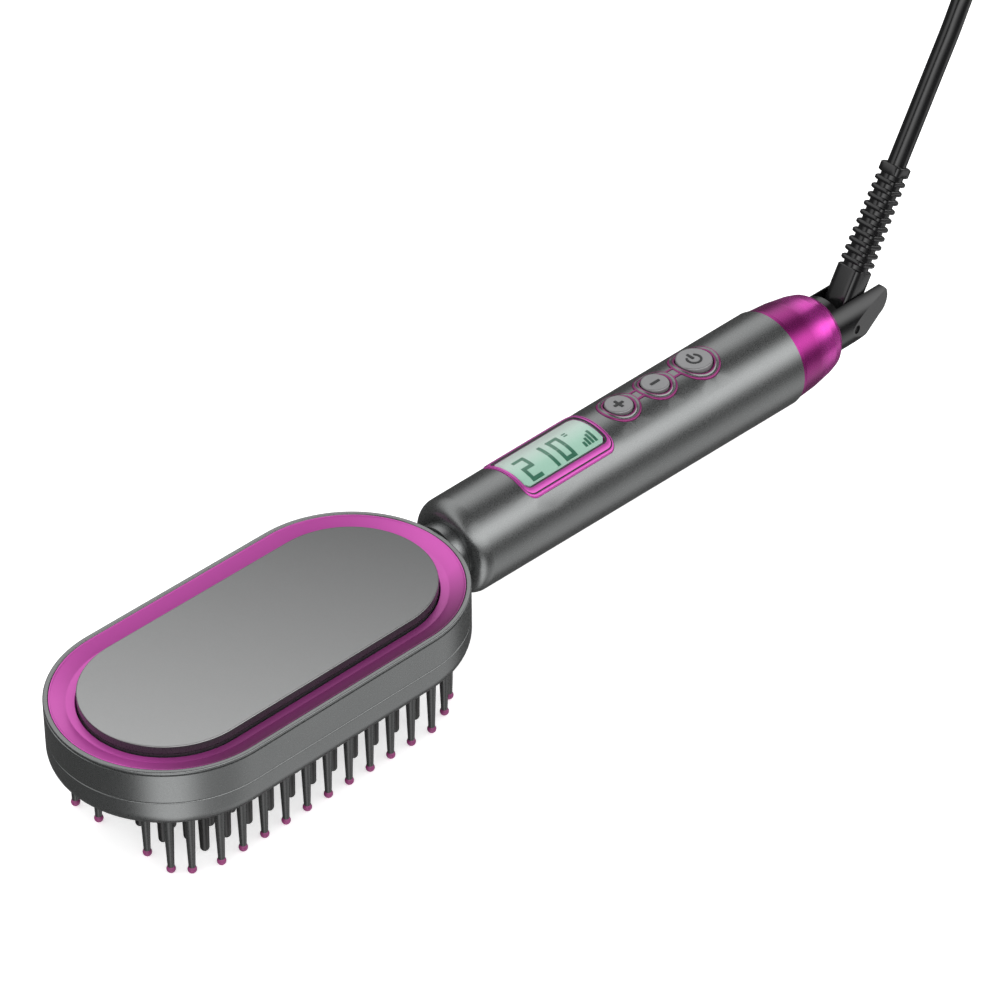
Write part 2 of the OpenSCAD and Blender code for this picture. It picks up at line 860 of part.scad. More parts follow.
module tail_cap() {
    r0 = barrel_rear_d / 2 - 0.3;
    r2 = cap_end_d / 2;
    color(accent) difference() {
        translate([cap_x, 0, z_axis]) rotate([0, 90, 0]) rotate_extrude()
            polygon([[0, -6], [sleeve_r, -6], [sleeve_r, 0], [r0 - 0.5, 0], [r0, 0.5],
                [r2 + 2, 0.78 * cap_len], [r2 + 1.4, 0.91 * cap_len], [r2, cap_len], [0, cap_len]]);
        rod_x(sleeve_r - 1.4, cap_x - 7, cap_x);
        rod_x(cap_bore_r, cap_x - 1, cap_x + cap_len - cap_wall);
        rod_x(neck_r + run, cap_x, cap_x + cap_len + 1);
    }
}

module contact_block() {
    color("dimgrey") difference() {
        rod_x(sleeve_r - 1.4 - fit, ring_x - 7, ring_x - 4);
        rod_x(1.5, ring_x - 8, ring_x);
    }
    color(brass) for (s = [-1, 1])
        translate([ring_x - 4, -1.5, z_axis + s * 6.6 - 0.4]) cube([6.6 + s, 3, 0.8]);
}

// The fork's outline from the side, on the handle's axis
module fork_side(x0) {
    polygon([[x0, -fork_base_r - 1], [x0 + fork_base_t, -fork_base_r - 0.3], [fork_x + 2.4, cheek_rise - 4],
        [fork_x, cheek_rise + cheek_r], [x0, fork_base_r + 1]]);
    translate([fork_x, cheek_rise]) circle(cheek_r);
}

module swivel_fork() {
    back_x = cap_x + cap_len + run;
    end_x = fork_x + cheek_r;
    slot_x = hinge_x - hub_r - 2 * run;
    slot_w = relief_w + 2 * run;
    color(jet) difference() {
        union() {
            rod_x(shaft_r, ring_x, clip_x - clip_t - fit);
            rod_x(groove_r, ring_x, clip_x + eps);
            rod_x(neck_r, clip_x, back_x + eps);
            intersection() {
                rod_x(fork_base_r, back_x, end_x + 1);
                translate([0, 2 * fork_base_r, z_axis]) rotate([90, 0, 0])
                    linear_extrude(4 * fork_base_r) fork_side(back_x);
                translate([0, 0, z_axis - 2 * fork_base_r]) linear_extrude(4 * fork_base_r)
                    polygon([[back_x, -fork_base_r - 1], [end_x, -fork_w / 2], [end_x, fork_w / 2],
                        [back_x, fork_base_r + 1]]);
            }
        }
        translate([slot_x, -slot_w / 2, z_axis - 2 * fork_base_r])
            cube([4 * fork_base_r, slot_w, 4 * fork_base_r]);
        cross_rod(hinge_x, hinge_r + pin_run, 4 * fork_base_r);
        rod_x(1.2, ring_x - 1, hinge_x);
    }
}

module swivel_clip() {
    color(steel) difference() {
        rod_x(clip_r, clip_x - clip_t, clip_x);
        rod_x(groove_r + fit, clip_x - 5, clip_x + 1);
        translate([clip_x - clip_t - 1, -groove_r, z_axis]) cube([clip_t + 2, 2 * groove_r, 10]);
    }
}

module slip_rings() {
    color(brass) for (x = [ring_x + 0.6, ring_x + 2.6])
        difference() {
            rod_x(5.8, x, x + 1.2);
            rod_x(shaft_r + fit, x - 1, x + 2);
        }
}

fork_base_r = 9.2;
fork_base_t = 3;
hinge_r = 1.3;
hub_r = relief_deep / 2 + 0.4;

// A rod across the handle's axis at x
module cross_rod(x, r, w) {
    translate([x, w / 2, z_axis]) rotate([90, 0, 0]) cylinder(r = r, h = w);
}

module hinge_pin() {
    color(steel) cross_rod(hinge_x, hinge_r, fork_w + 2);
}

// ---------------------------------------------------------------- strain relief

relief_base = 17.6;        // from the hinge to the first rib
rib_t = 1.5;
collar_t = 3;              // last, thicker rib at the cord's exit
core_r = 3.9;

// Places a shape drawn along +Z on the tilted line of the cord
module along_cord() {
    translate([hinge_x, 0, z_axis]) rotate([0, 90 - rest_tilt, 0]) children();
}

// A slice of the relief's section, w wide and drawn from z upwards
module relief_slice(z, t, w = relief_w) {
    translate([0, 0, z]) linear_extrude(t) rounded(relief_deep * w / relief_w, w, 1.4);
}

module strain_relief() {
    rib_pitch = (relief_len - collar_t - relief_base) / relief_ribs;
    color(jet) difference() {
        along_cord() {
            translate([0, relief_w / 2, 0]) rotate([90, 0, 0]) cylinder(r = hub_r, h = relief_w);
            relief_slice(0, relief_base - rib_pitch + rib_t);
            cylinder(r1 = core_r, r2 = cord_d / 2 + 0.3, h = relief_len - eps);
            for (i = [0:relief_ribs - 1])
                relief_slice(relief_base + i * rib_pitch, rib_t,
                    relief_w + (relief_end_w - relief_w) * i / relief_ribs);
            relief_slice(relief_len - collar_t, collar_t, relief_end_w);
        }
        cross_rod(hinge_x, hinge_r + pin_run, 4 * relief_w);
    }
}

// ---------------------------------------------------------------- cord, coil and plug

cord_dir = [cos(rest_tilt), 0, sin(rest_tilt)];
cord_exit = [hinge_x, 0, z_axis] + relief_len * cord_dir;

// Free stretch: millimetres behind the exit, to the left, above the table
cord_points = [[7.5, 0, 86.4], [14, 0, 97.7], [21, 0, 109.8], [28.5, 0.5, 122], [37.6, 1.5, 130.5],
    [47.9, 3, 134.1], [58.6, 4.5, 132.7], [67.8, 6, 126.9], [73.8, 7, 117.8], [76.2, 7.5, 107],
    [77.2, 8, 96], [77.8, 8.5, 85.5], [78.4, 9.5, 74], [79.3, 11, 62], [80.8, 14, 49.5], [83.5, 18, 37.5],
    [87.1, 22, 27], [92.3, 25.8, 19], [99.8, 28.8, 13.4]];
coil_x = 121.35;
coil_y = 30.5;

layer = cord_d + 0.6;
tie_t = 0.8;
coil_low = tie_t + run + cord_d / 2;
coil_c = [cord_exit[0] + coil_x, coil_y - coil_r];
coil_start = [coil_c[0] - cord_d, coil_y, coil_low + layer];
route = concat([cord_exit, cord_exit + cord_d * cord_dir],
    [for (p = cord_points) [cord_exit[0] + p[0], p[1], p[2]]],
    [coil_start - [cord_d, 0, 0], coil_start]);

function unit(v) = v / norm(v);
function heading(p, i) = unit(p[min(i + 1, len(p) - 1)] - p[max(i - 1, 0)]);
// One of the two triangles of the square k between rings i and i + 1
function side(i, k, n, half) = let (a = i * n, j = (k + 1) % n)
    half == 0 ? [a + k, a + j, a + n + k] : [a + j, a + n + j, a + n + k];
// Rings of n points around each point of a path, square to it
function tube_rings(p, r, n) = [for (i = [0:len(p) - 1])
    let (d = heading(p, i), u = unit(cross([0, 1, 0.02], d)), v = cross(d, u))
    for (k = [0:n - 1]) p[i] + r * (cos(360 * k / n) * u + sin(360 * k / n) * v)];

module tube(p, r, n) {
    m = len(p);
    polyhedron(
        points = tube_rings(p, r, n),
        faces = concat(
            [for (half = [0, 1], i = [0:m - 2], k = [0:n - 1]) side(i, k, n, half)],
            [for (k = [1:n - 2]) [0, k + 1, k]],
            [for (k = [1:n - 2]) let (a = (m - 1) * n) [a, a + k, a + k + 1]]));
}

module power_cord() {
    color(jet) tube(route, cord_d / 2, 10);
}

// The coil winds clockwise seen from above: inwards on the upper layer, outwards on the lower one
loop_steps = 24;
half_turns = coil_turns / 2;
function smooth(t) = let (s = min(max(t, 0), 1)) s * s * (3 - 2 * s);
function coil_radius(t) = coil_r - layer * (half_turns - abs(t - half_turns));
function coil_height(t) = coil_low + layer * (1 - smooth(2 * (t - half_turns) + 0.5));
function coil_point(t) = [coil_c[0] + coil_radius(t) * sin(360 * t),
    coil_c[1] + coil_radius(t) * cos(360 * t), coil_height(t)];

plug_z = plug_t / 2;
tail_len = 50;
tail_shift = 10.5;
tail_at = coil_point(coil_turns);
function tail_point(s) = tail_at
    + [-s * tail_len, tail_shift * smooth((s - 0.2) / 0.8), (plug_z - coil_low) * smooth(s / 0.75)];
coil_path = concat([coil_start], [for (i = [0:coil_turns * loop_steps]) coil_point(i / loop_steps)],
    [for (s = [0.125:0.125:1]) tail_point(s)]);

module cord_coil() {
    color(jet) tube(coil_path, cord_d / 2, 6);
}

wound = [for (i = [0:2:coil_turns * loop_steps]) coil_point(i / loop_steps)];
gaps = [for (i = [0:len(wound) - 1], j = [i + loop_steps / 4:1:len(wound) - 1]) norm(wound[i] - wound[j])];
echo(least_coil_gap = min(gaps) - cord_d);

function path_len(p) = [for (i = 1, s = norm(p[1] - p[0]); i < len(p);
    i = i + 1, s = s + (i < len(p) ? norm(p[i] - p[i - 1]) : 0)) s][len(p) - 2];
echo(free_length = path_len(route), coil_length = path_len(coil_path));

module cord_tie() {
    inner_edge = coil_r - layer * half_turns - cord_d / 2 - 2 * run;
    outer_edge = coil_r + cord_d / 2 + run;
    top = coil_low + layer + cord_d / 2 + run;
    tie_w = 6;
    color("dimgrey") translate([coil_c[0], coil_c[1], 0]) rotate([90, 0, 0])
        translate([0, 0, -tie_w / 2]) linear_extrude(tie_w) difference() {
            translate([inner_edge - tie_t, 0]) square([outer_edge - inner_edge + 2 * tie_t, top + tie_t]);
            translate([inner_edge, tie_t]) square([outer_edge - inner_edge, top - tie_t]);
        }
}

plug_x = tail_at[0] - tail_len;
plug_y = tail_at[1] + tail_shift;
blade_gap = 18.6;
blade_d = 4;

module plug_body() {
    relief = 9;
    color(jet) translate([plug_x, plug_y, plug_z]) rotate([0, -90, 0]) {
        cylinder(r1 = 4.6, r2 = 6, h = relief);
        translate([0, 0, relief - eps]) linear_extrude(plug_len - relief) intersection() {
            square([plug_t, plug_w], center = true);
            circle(plug_w / 2 + 0.2);
        }
    }
}

module plug_pins() {
    color(steel) for (s = [-1, 1])
        translate([plug_x - plug_len, plug_y + s * blade_gap / 2, plug_z]) rotate([0, -90, 0]) {
            cylinder(d = blade_d, h = blade_len - blade_d / 2, $fn = 24);
            translate([0, 0, blade_len - blade_d / 2]) sphere(d = blade_d, $fn = 24);
        }
}

upper_shell();
lower_shell();
accent_tray();
tank_body();
tank_lid();
tank_plug();
tank_valve();
tank_seal();
feed_tube();
steam_cover();
heater_plate();
heated_teeth();
ptc_heaters();
heater_clamps();
thermistor();
thermal_fuse();
pin_plate();
outer_pins();
pin_tips();
head_screws();
neck_collar();
wiring_loom();
barrel();
handle_cover();
cover_screw();
display_frame();
display_lens();
lcd_module();
button_bezel();
plus_button();
minus_button();
power_button();
button_switches();
main_board();
board_parts();
tail_cap();
contact_block();
swivel_fork();
swivel_clip();
slip_rings();
hinge_pin();
strain_relief();
power_cord();
cord_coil();
cord_tie();
plug_body();
plug_pins();
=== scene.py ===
import math

import bmesh
import bpy
from mathutils import Matrix, Vector


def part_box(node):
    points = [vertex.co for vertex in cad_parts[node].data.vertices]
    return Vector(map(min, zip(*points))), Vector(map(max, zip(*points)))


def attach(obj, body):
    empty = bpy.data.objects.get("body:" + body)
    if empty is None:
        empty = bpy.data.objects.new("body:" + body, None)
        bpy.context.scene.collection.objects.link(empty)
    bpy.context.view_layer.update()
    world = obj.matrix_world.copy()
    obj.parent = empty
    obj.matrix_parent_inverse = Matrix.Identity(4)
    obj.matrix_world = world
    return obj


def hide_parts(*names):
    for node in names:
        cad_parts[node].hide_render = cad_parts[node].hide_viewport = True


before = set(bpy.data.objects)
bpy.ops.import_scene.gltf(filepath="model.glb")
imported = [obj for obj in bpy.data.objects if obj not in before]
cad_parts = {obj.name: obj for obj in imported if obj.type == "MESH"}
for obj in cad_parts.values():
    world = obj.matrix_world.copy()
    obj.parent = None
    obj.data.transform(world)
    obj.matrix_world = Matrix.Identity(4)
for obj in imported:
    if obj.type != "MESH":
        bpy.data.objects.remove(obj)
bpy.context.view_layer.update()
scene = bpy.context.scene
MM = 0.001


def box_mm(node):
    """A node's lowest and highest corners in millimetres."""
    return [[round(c / MM, 3) for c in corner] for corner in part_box(node)]


def middle(node, axis):
    """The middle of a node's box along an axis."""
    low, high = box_mm(node)
    return (low[axis] + high[axis]) / 2


def width(node, axis):
    """The size of a node's box along an axis."""
    low, high = box_mm(node)
    return high[axis] - low[axis]


# The head: its middle, half the distance between its round ends, its radius and its levels
HX = middle("tank_lid", 0)
LID_R = width("tank_lid", 1) / 2
ARC_X = width("tank_lid", 0) / 2 - LID_R
SHELL_R = box_mm("lower_shell")[1][1]
Z_SEAM = box_mm("lower_shell")[1][2]
Z_RIM = box_mm("upper_shell")[1][2]
Z_LID = box_mm("tank_lid")[1][2]
Z_CHANNEL = Z_RIM - 1.8
Z_BOT = 19.9

# The handle: its axis height, its ends, and its radius at both
Z_AXIS = middle("barrel", 2)
BX = box_mm("barrel")[0][0]
CX = box_mm("barrel")[1][0]
CAP_END = box_mm("tail_cap")[1][0]
R_FRONT = 14.5
R_REAR = box_mm("barrel")[1][2] - Z_AXIS

# The relief: where it hinges, how far it stands up, its length, and the cord's thickness
JX = middle("hinge_pin", 0)
TILT = math.radians(60)
RELIEF_LEN = 49.0
CORD_D = 6.0


# ---------------------------------------------------------------- camera

CAMERA_RIGHT = Vector((0.70992, -0.70427, -0.00468))
CAMERA_BACK = Vector((-0.56233, -0.57081, 0.5983))
CAMERA_PLACE = Vector((-669.7 + HX, -771.7, 806.9 + Z_RIM))
SENSOR, LENS = 36.0, 174.7


def set_camera():
    """The photograph's view: from the front right, steeply down on the head."""
    right = CAMERA_RIGHT.normalized()
    back = (CAMERA_BACK - right * CAMERA_BACK.dot(right)).normalized()
    turn = Matrix((right, back.cross(right), back)).transposed().to_4x4()
    turn.translation = CAMERA_PLACE * MM
    data = bpy.data.cameras.new("camera")
    data.sensor_width = SENSOR
    data.lens = LENS
    data.clip_start = 0.05
    data.clip_end = 20.0
    cam = bpy.data.objects.new("camera", data)
    cam.matrix_world = turn
    scene.collection.objects.link(cam)
    scene.camera = cam


set_camera()


# ---------------------------------------------------------------- materials

GRAIN = 2600                    # the finest noise, per metre
GRAIN_DEPTH = 0.00002           # metres
MIX_A, MIX_B, MIX_OUT = 6, 7, 2     # the colour sockets of a mix node


def nodes_of(name):
    """A new material with its node tree and its shader."""
    m = bpy.data.materials.new(name)
    m.use_nodes = True
    return m, m.node_tree, m.node_tree.nodes["Principled BSDF"]


def object_place(nt):
    """The place on the object itself, so that a pattern moves with its piece."""
    return nt.nodes.new("ShaderNodeTexCoord").outputs["Object"]


def noise(nt, coord, scale, detail=3.0):
    """A soft pattern between nothing and one, with its scale per metre."""
    n = nt.nodes.new("ShaderNodeTexNoise")
    n.inputs["Scale"].default_value = scale
    n.inputs["Detail"].default_value = detail
    n.inputs["Roughness"].default_value = 0.55
    nt.links.new(coord, n.inputs["Vector"])
    return n.outputs["Fac"]


def remap(nt, value, low, high, span=(0.3, 0.7)):
    """Carries a value from a span to the range from low to high."""
    n = nt.nodes.new("ShaderNodeMapRange")
    for i, v in enumerate((*span, low, high)):
        n.inputs[i + 1].default_value = v
    nt.links.new(value, n.inputs[0])
    return n.outputs[0]


def mixed(nt, share, a, b):
    """The colour that lies a share of the way from a to b."""
    n = nt.nodes.new("ShaderNodeMix")
    n.data_type = "RGBA"
    n.inputs[MIX_A].default_value = (*a, 1)
    n.inputs[MIX_B].default_value = (*b, 1)
    nt.links.new(share, n.inputs[0])
    return n.outputs[MIX_OUT]


def raised(nt, height, strength, shader):
    """Gives a shader's surface a fine relief."""
    n = nt.nodes.new("ShaderNodeBump")
    n.inputs["Strength"].default_value = strength
    n.inputs["Distance"].default_value = GRAIN_DEPTH
    nt.links.new(height, n.inputs["Height"])
    nt.links.new(n.outputs[0], shader.inputs["Normal"])


def math_node(nt, operation, a, b=0.0):
    """The result of a sum on two values, each a number or a socket."""
    n = nt.nodes.new("ShaderNodeMath")
    n.operation = operation
    for socket, value in zip(n.inputs, (a, b)):
        if isinstance(value, bpy.types.NodeSocket):
            nt.links.new(value, socket)
        else:
            socket.default_value = value
    return n.outputs[0]


def moulded(name, dark, light, rough, metallic=0.0, bump=0.02, cloud=45, coat=0.0, coat_rough=0.1):
    """A moulded or painted plastic: slow colour drift, fine grain in colour, gloss and relief."""
    m, nt, b = nodes_of(name)
    co = object_place(nt)
    slow = noise(nt, co, cloud, 2.0)
    fine = noise(nt, co, GRAIN, 2.0)
    both = math_node(nt, "ADD", remap(nt, slow, 0.0, 0.6), remap(nt, fine, 0.0, 0.4))
    nt.links.new(mixed(nt, both, dark, light), b.inputs["Base Color"])
    nt.links.new(remap(nt, fine, rough - 0.05, rough + 0.05), b.inputs["Roughness"])
    raised(nt, fine, bump * 10, b)
    b.inputs["Metallic"].default_value = metallic
    b.inputs["Coat Weight"].default_value = coat
    b.inputs["Coat Roughness"].default_value = coat_rough
    return m


def graded(name, near, far, rough, metallic, axis, span):
    """A satin film whose tone changes along an axis, over a span in metres: painted light and shade."""
    m, nt, b = nodes_of(name)
    co = object_place(nt)
    along = nt.nodes.new("ShaderNodeVectorMath")
    along.operation = "DOT_PRODUCT"
    along.inputs[1].default_value = axis
    nt.links.new(co, along.inputs[0])
    share = remap(nt, along.outputs["Value"], 0, 1, span)
    nt.links.new(mixed(nt, share, near, far), b.inputs["Base Color"])
    fine = noise(nt, co, GRAIN, 2.0)
    nt.links.new(remap(nt, fine, rough - 0.04, rough + 0.04), b.inputs["Roughness"])
    b.inputs["Metallic"].default_value = metallic
    return m


def brushed(name, dark, light, rough, metallic=1.0):
    """Metal with fine lines along one direction."""
    m, nt, b = nodes_of(name)
    stretch = nt.nodes.new("ShaderNodeMapping")
    stretch.inputs["Scale"].default_value = (1, 40, 40)
    nt.links.new(object_place(nt), stretch.inputs["Vector"])
    lines = noise(nt, stretch.outputs[0], 120, 4.0)
    nt.links.new(mixed(nt, remap(nt, lines, 0, 1), dark, light), b.inputs["Base Color"])
    nt.links.new(remap(nt, lines, rough - 0.06, rough + 0.08), b.inputs["Roughness"])
    raised(nt, lines, 0.12, b)
    b.inputs["Metallic"].default_value = metallic
    return m


def glass(name):
    """Clear window: what is behind it shows, with a soft reflection on its front faces."""
    m, nt, b = nodes_of(name)
    nt.nodes.remove(b)
    clear = nt.nodes.new("ShaderNodeBsdfTransparent")
    clear.inputs[0].default_value = (0.93, 0.97, 0.95, 1)
    gloss = nt.nodes.new("ShaderNodeBsdfGlossy")
    nt.links.new(remap(nt, noise(nt, object_place(nt), 900), 0.05, 0.09), gloss.inputs["Roughness"])
    edge = nt.nodes.new("ShaderNodeFresnel")
    edge.inputs["IOR"].default_value = 1.5
    back = nt.nodes.new("ShaderNodeNewGeometry").outputs["Backfacing"]
    front = math_node(nt, "SUBTRACT", 1.0, back)
    both = nt.nodes.new("ShaderNodeMixShader")
    nt.links.new(math_node(nt, "MULTIPLY", edge.outputs[0], front), both.inputs[0])
    nt.links.new(clear.outputs[0], both.inputs[1])
    nt.links.new(gloss.outputs[0], both.inputs[2])
    nt.links.new(both.outputs[0], nt.nodes["Material Output"].inputs[0])
    return m


M = {}

# The greys: paint on the casings, and the lid, lighter towards the nose with a painted sheen
M["shell"] = moulded("gunmetal_paint", (0.175, 0.18, 0.18), (0.195, 0.200, 0.200), 0.3, metallic=0.9,
                     bump=0.002)
M["plateau"] = graded("plateau_satin_painted_sheen", (0.335, 0.338, 0.338), (0.105, 0.107, 0.107), 0.38, 0.85,
                      (0.86, 0.5, 0), (-0.135, -0.015))

# The magentas: the channel is darker on its near side with painted shade, and the cap darker at its front
# and lighter at its rear with a painted highlight
M["accent"] = moulded("magenta_paint", (0.46, 0.032, 0.29), (0.51, 0.037, 0.32), 0.28, metallic=0.8,
                      bump=0.0015, coat=0.8, coat_rough=0.25)
M["accent_satin"] = moulded("magenta_satin", (0.50, 0.070, 0.37), (0.54, 0.078, 0.40), 0.34,
                            metallic=0.4, bump=0.002)
M["accent_ring"] = moulded("magenta_line", (0.20, 0.017, 0.12), (0.24, 0.020, 0.14), 0.34,
                           metallic=0.4, bump=0.002)
M["accent_tip"] = moulded("magenta_ball", (0.20, 0.025, 0.12), (0.28, 0.04, 0.16), 0.42, bump=0.03)
M["tray"] = graded("magenta_tray_painted_shade", (0.15, 0.022, 0.10), (0.56, 0.080, 0.41), 0.34, 0.4,
                   (0, 1, 0), (-0.031, -0.014))
M["cap"] = graded("magenta_cap_painted_highlight", (0.27, 0.016, 0.17), (0.54, 0.046, 0.37), 0.27, 0.8,
                  (1, 0, 0), (0.118, 0.123))

# Plain plastics and rubber
M["pin"] = moulded("pin_plastic", (0.022, 0.023, 0.023), (0.032, 0.033, 0.033), 0.3, bump=0.02)
M["tooth"] = moulded("tooth_plastic", (0.006, 0.006, 0.006), (0.012, 0.012, 0.012), 0.4, bump=0.03)
M["black"] = moulded("black_plastic", (0.005, 0.005, 0.0055), (0.008, 0.008, 0.0083), 0.16, bump=0.01)
M["rubber"] = moulded("cord_rubber", (0.005, 0.005, 0.0055), (0.008, 0.008, 0.0083), 0.17,
                      bump=0.01, cloud=120)
M["tank"] = moulded("tank_plastic_and_painted_shade", (0.03, 0.03, 0.032), (0.045, 0.045, 0.047), 0.3)
M["key"] = moulded("key_plastic", (0.20, 0.20, 0.205), (0.235, 0.235, 0.24), 0.34, metallic=0.4)
# Print on the keys, and painted shade in the display frame
M["ink"] = moulded("printed_ink_and_painted_shade", (0.008, 0.009, 0.010), (0.016, 0.017, 0.018), 0.55)

# The display: green near the viewer, paler towards its far side with a painted reflection
M["lcd"] = graded("lcd_backing_painted_reflection", (0.46, 0.64, 0.56), (0.68, 0.66, 0.67), 0.5, 0.0,
                  (0, 1, 0), (-0.003, 0.005))
M["segment"] = moulded("lcd_segment", (0.02, 0.12, 0.075), (0.05, 0.20, 0.13), 0.5, bump=0.0)
M["lens"] = glass("display_glass")

# What lies inside or below
M["steel"] = brushed("bright_steel", (0.50, 0.50, 0.51), (0.62, 0.62, 0.63), 0.3)
M["brass"] = brushed("brass", (0.60, 0.42, 0.16), (0.72, 0.52, 0.22), 0.3)
M["heater"] = brushed("heater_coating", (0.03, 0.03, 0.032), (0.05, 0.05, 0.052), 0.45, metallic=0.6)
M["white"] = moulded("ceramic_white", (0.72, 0.71, 0.67), (0.80, 0.79, 0.75), 0.5)
M["board"] = moulded("circuit_board", (0.012, 0.10, 0.035), (0.02, 0.14, 0.05), 0.4)
M["orange"] = moulded("sensor_bead", (0.6, 0.22, 0.03), (0.7, 0.28, 0.05), 0.35)
M["wire"] = moulded("wire_sleeve", (0.45, 0.03, 0.03), (0.55, 0.05, 0.05), 0.4)
M["grey"] = moulded("carrier_plastic", (0.10, 0.10, 0.102), (0.13, 0.13, 0.132), 0.5)
M["seal"] = moulded("seal_rubber", (0.012, 0.012, 0.013), (0.02, 0.02, 0.021), 0.6)


# ---------------------------------------------------------------- mesh helpers

def shade(o, angle=35):
    """Smooth faces, with edges kept sharp past an angle in degrees."""
    o.data.shade_smooth()
    o.data.set_sharp_from_angle(angle=math.radians(angle))
    keep = o.modifiers.new("normals", "WEIGHTED_NORMAL")
    keep.keep_sharp = True


def piece(name, verts, faces, mat, body, replaces=(), angle=35):
    """A mesh in millimetres that rides on a body, with the finish of its material key."""
    me = bpy.data.meshes.new(name)
    me.from_pydata([[c * MM for c in v] for v in verts], [], faces)
    bm = bmesh.new()
    bm.from_mesh(me)
    bmesh.ops.recalc_face_normals(bm, faces=bm.faces)
    bm.to_mesh(me)
    bm.free()
    me.materials.append(M[mat])
    o = bpy.data.objects.new(name, me)
    scene.collection.objects.link(o)
    shade(o, angle)
    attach(o, body)
    if replaces:
        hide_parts(*replaces)
    return o


def skin(rings, loop=False, caps=(False, False), ring_closed=True):
    """Vertices and faces between rings that have as many points each."""
    n, m = len(rings[0]), len(rings)
    faces = []
    for i in range(m if loop else m - 1):
        for k in range(n if ring_closed else n - 1):
            a, b = i * n + k, i * n + (k + 1) % n
            j = (i + 1) % m * n
            faces.append((a, b, j + (k + 1) % n, j + k))
    if caps[0]:
        faces.append(tuple(range(n)))
    if caps[1]:
        faces.append(tuple(reversed(range((m - 1) * n, m * n))))
    return [tuple(p) for r in rings for p in r], faces


def joined(*parts):
    """Several (vertices, faces) as one."""
    verts, faces = [], []
    for v, f in parts:
        faces += [tuple(i + len(verts) for i in face) for face in f]
        verts += v
    return verts, faces


def rounded(points, closed=True, step=15):
    """A flat outline whose corners (x, y, radius) are rounded with arcs."""
    out = []
    for i, p in enumerate(points):
        r = p[2] if len(p) > 2 else 0
        if not r or (not closed and i in (0, len(points) - 1)):
            out.append((p[0], p[1]))
            continue
        q = Vector(p[:2])
        u = (Vector(points[i - 1][:2]) - q).normalized()
        v = (Vector(points[(i + 1) % len(points)][:2]) - q).normalized()
        half = u.angle(v) / 2
        c = q + (u + v).normalized() * (r / math.sin(half))
        s = q + u * (r / math.tan(half)) - c
        e = q + v * (r / math.tan(half)) - c
        a0 = math.atan2(s.y, s.x)
        turn = (math.atan2(e.y, e.x) - a0 + math.pi) % (2 * math.pi) - math.pi
        steps = max(2, round(abs(math.degrees(turn)) / step))
        for k in range(steps + 1):
            a = a0 + turn * k / steps
            out.append((c.x + r * math.cos(a), c.y + r * math.sin(a)))
    return out


def stadium_ring(r, z, seg=56, straight=8):
    """Points round the head at distance r from the line between its two centres."""
    ring = []
    for s in (1, -1):
        for k in range(seg + 1):
            a = math.pi * (k / seg - s / 2)
            ring.append((HX + s * ARC_X + r * math.cos(a), r * math.sin(a), z))
        for k in range(1, straight):
            ring.append((HX + s * ARC_X * (1 - 2 * k / straight), s * r, z))
    return ring


def pill(profile, loop=True, caps=(False, False)):
    """A profile (radius, height) carried round the head."""
    return skin([stadium_ring(r, z) for r, z in profile], loop, caps)


def turned(profile, m, seg=96, loop=False, caps=(False, False)):
    """A profile (radius, height) turned about the local Z axis of a matrix."""
    turns = [2 * math.pi * k / seg for k in range(seg)]
    rings = [[m @ Vector((r * math.cos(a), r * math.sin(a), h)) for a in turns] for r, h in profile]
    return skin(rings, loop, caps)


def upright(x, y):
    """A matrix that stands a turned shape on the point (x, y)."""
    return Matrix.Translation((x, y, 0))


# Places turned so that the local Z axis runs along the handle, or up the relief and its cord
ALONG = Matrix.Translation((0, 0, Z_AXIS)) @ Matrix.Rotation(math.pi / 2, 4, "Y")
CORDWAYS = Matrix.Translation((JX, 0, Z_AXIS)) @ Matrix.Rotation(math.pi / 2 - TILT, 4, "Y")


# ---------------------------------------------------------------- cord and plug

EXIT = CORDWAYS @ Vector((0, 0, RELIEF_LEN))

# The cord's free part: x behind its exit, and y and z
FREE = [(7.5, 0, 86.4), (14, 0, 97.7), (21, 0, 109.8), (28.5, 0.5, 122), (37.6, 1.5, 130.5),
        (47.9, 3, 134.1), (58.6, 4.5, 132.7), (67.8, 6, 126.9), (73.8, 7, 117.8), (76.2, 7.5, 107),
        (77.2, 8, 96), (77.8, 8.5, 85.5), (78.4, 9.5, 74), (79.3, 11, 62), (80.8, 14, 49.5),
        (83.5, 18, 37.5), (87.1, 22, 27), (92.3, 25.8, 19), (99.8, 28.8, 13.4)]

# The coil: the step between its turns and its two layers, the turns, its radius and its lower height
LAYER, TURNS, COIL_R, COIL_LOW = CORD_D + 0.6, 6.5, 48.0, 4.1
COIL = Vector((EXIT.x + 121.35, 30.5 - COIL_R, 0))
COIL_STEPS, TAIL_STEPS = 60, 16     # points to a turn of the coil, and on the cord's tail
PLUG_Z, TAIL, TAIL_SHIFT = 6.85, 50.0, 10.5


def smooth(t):
    """An even rise from nothing to one, level at both ends."""
    s = min(max(t, 0), 1)
    return s * s * (3 - 2 * s)


def coil_point(t):
    """The coil's middle line after t turns: inwards on the upper layer, and out on the lower one."""
    half = TURNS / 2
    r = COIL_R - LAYER * (half - abs(t - half))
    a = 2 * math.pi * t
    z = COIL_LOW + LAYER * (1 - smooth(2 * (t - half) + 0.5))
    return Vector((COIL.x + r * math.sin(a), COIL.y + r * math.cos(a), z))


def between(p, q, at, start, end):
    """The point at a measure on the line that is at p at its start and at q at its end."""
    return p * ((end - at) / (end - start)) + q * ((at - start) / (end - start))


def flowing(points, per=10):
    """A smooth line through points, with even speed between them."""
    out = []
    for i in range(1, len(points) - 2):
        p = points[i - 1:i + 3]
        k = [0.0]
        for a, b in zip(p, p[1:]):
            k.append(k[-1] + max((b - a).length, 1e-6) ** 0.5)
        for j in range(per):
            t = k[1] + (k[2] - k[1]) * j / per
            a = [between(p[n], p[n + 1], t, k[n], k[n + 1]) for n in range(3)]
            b = [between(a[n], a[n + 1], t, k[n], k[n + 2]) for n in range(2)]
            out.append(between(b[0], b[1], t, k[1], k[2]))
    return out


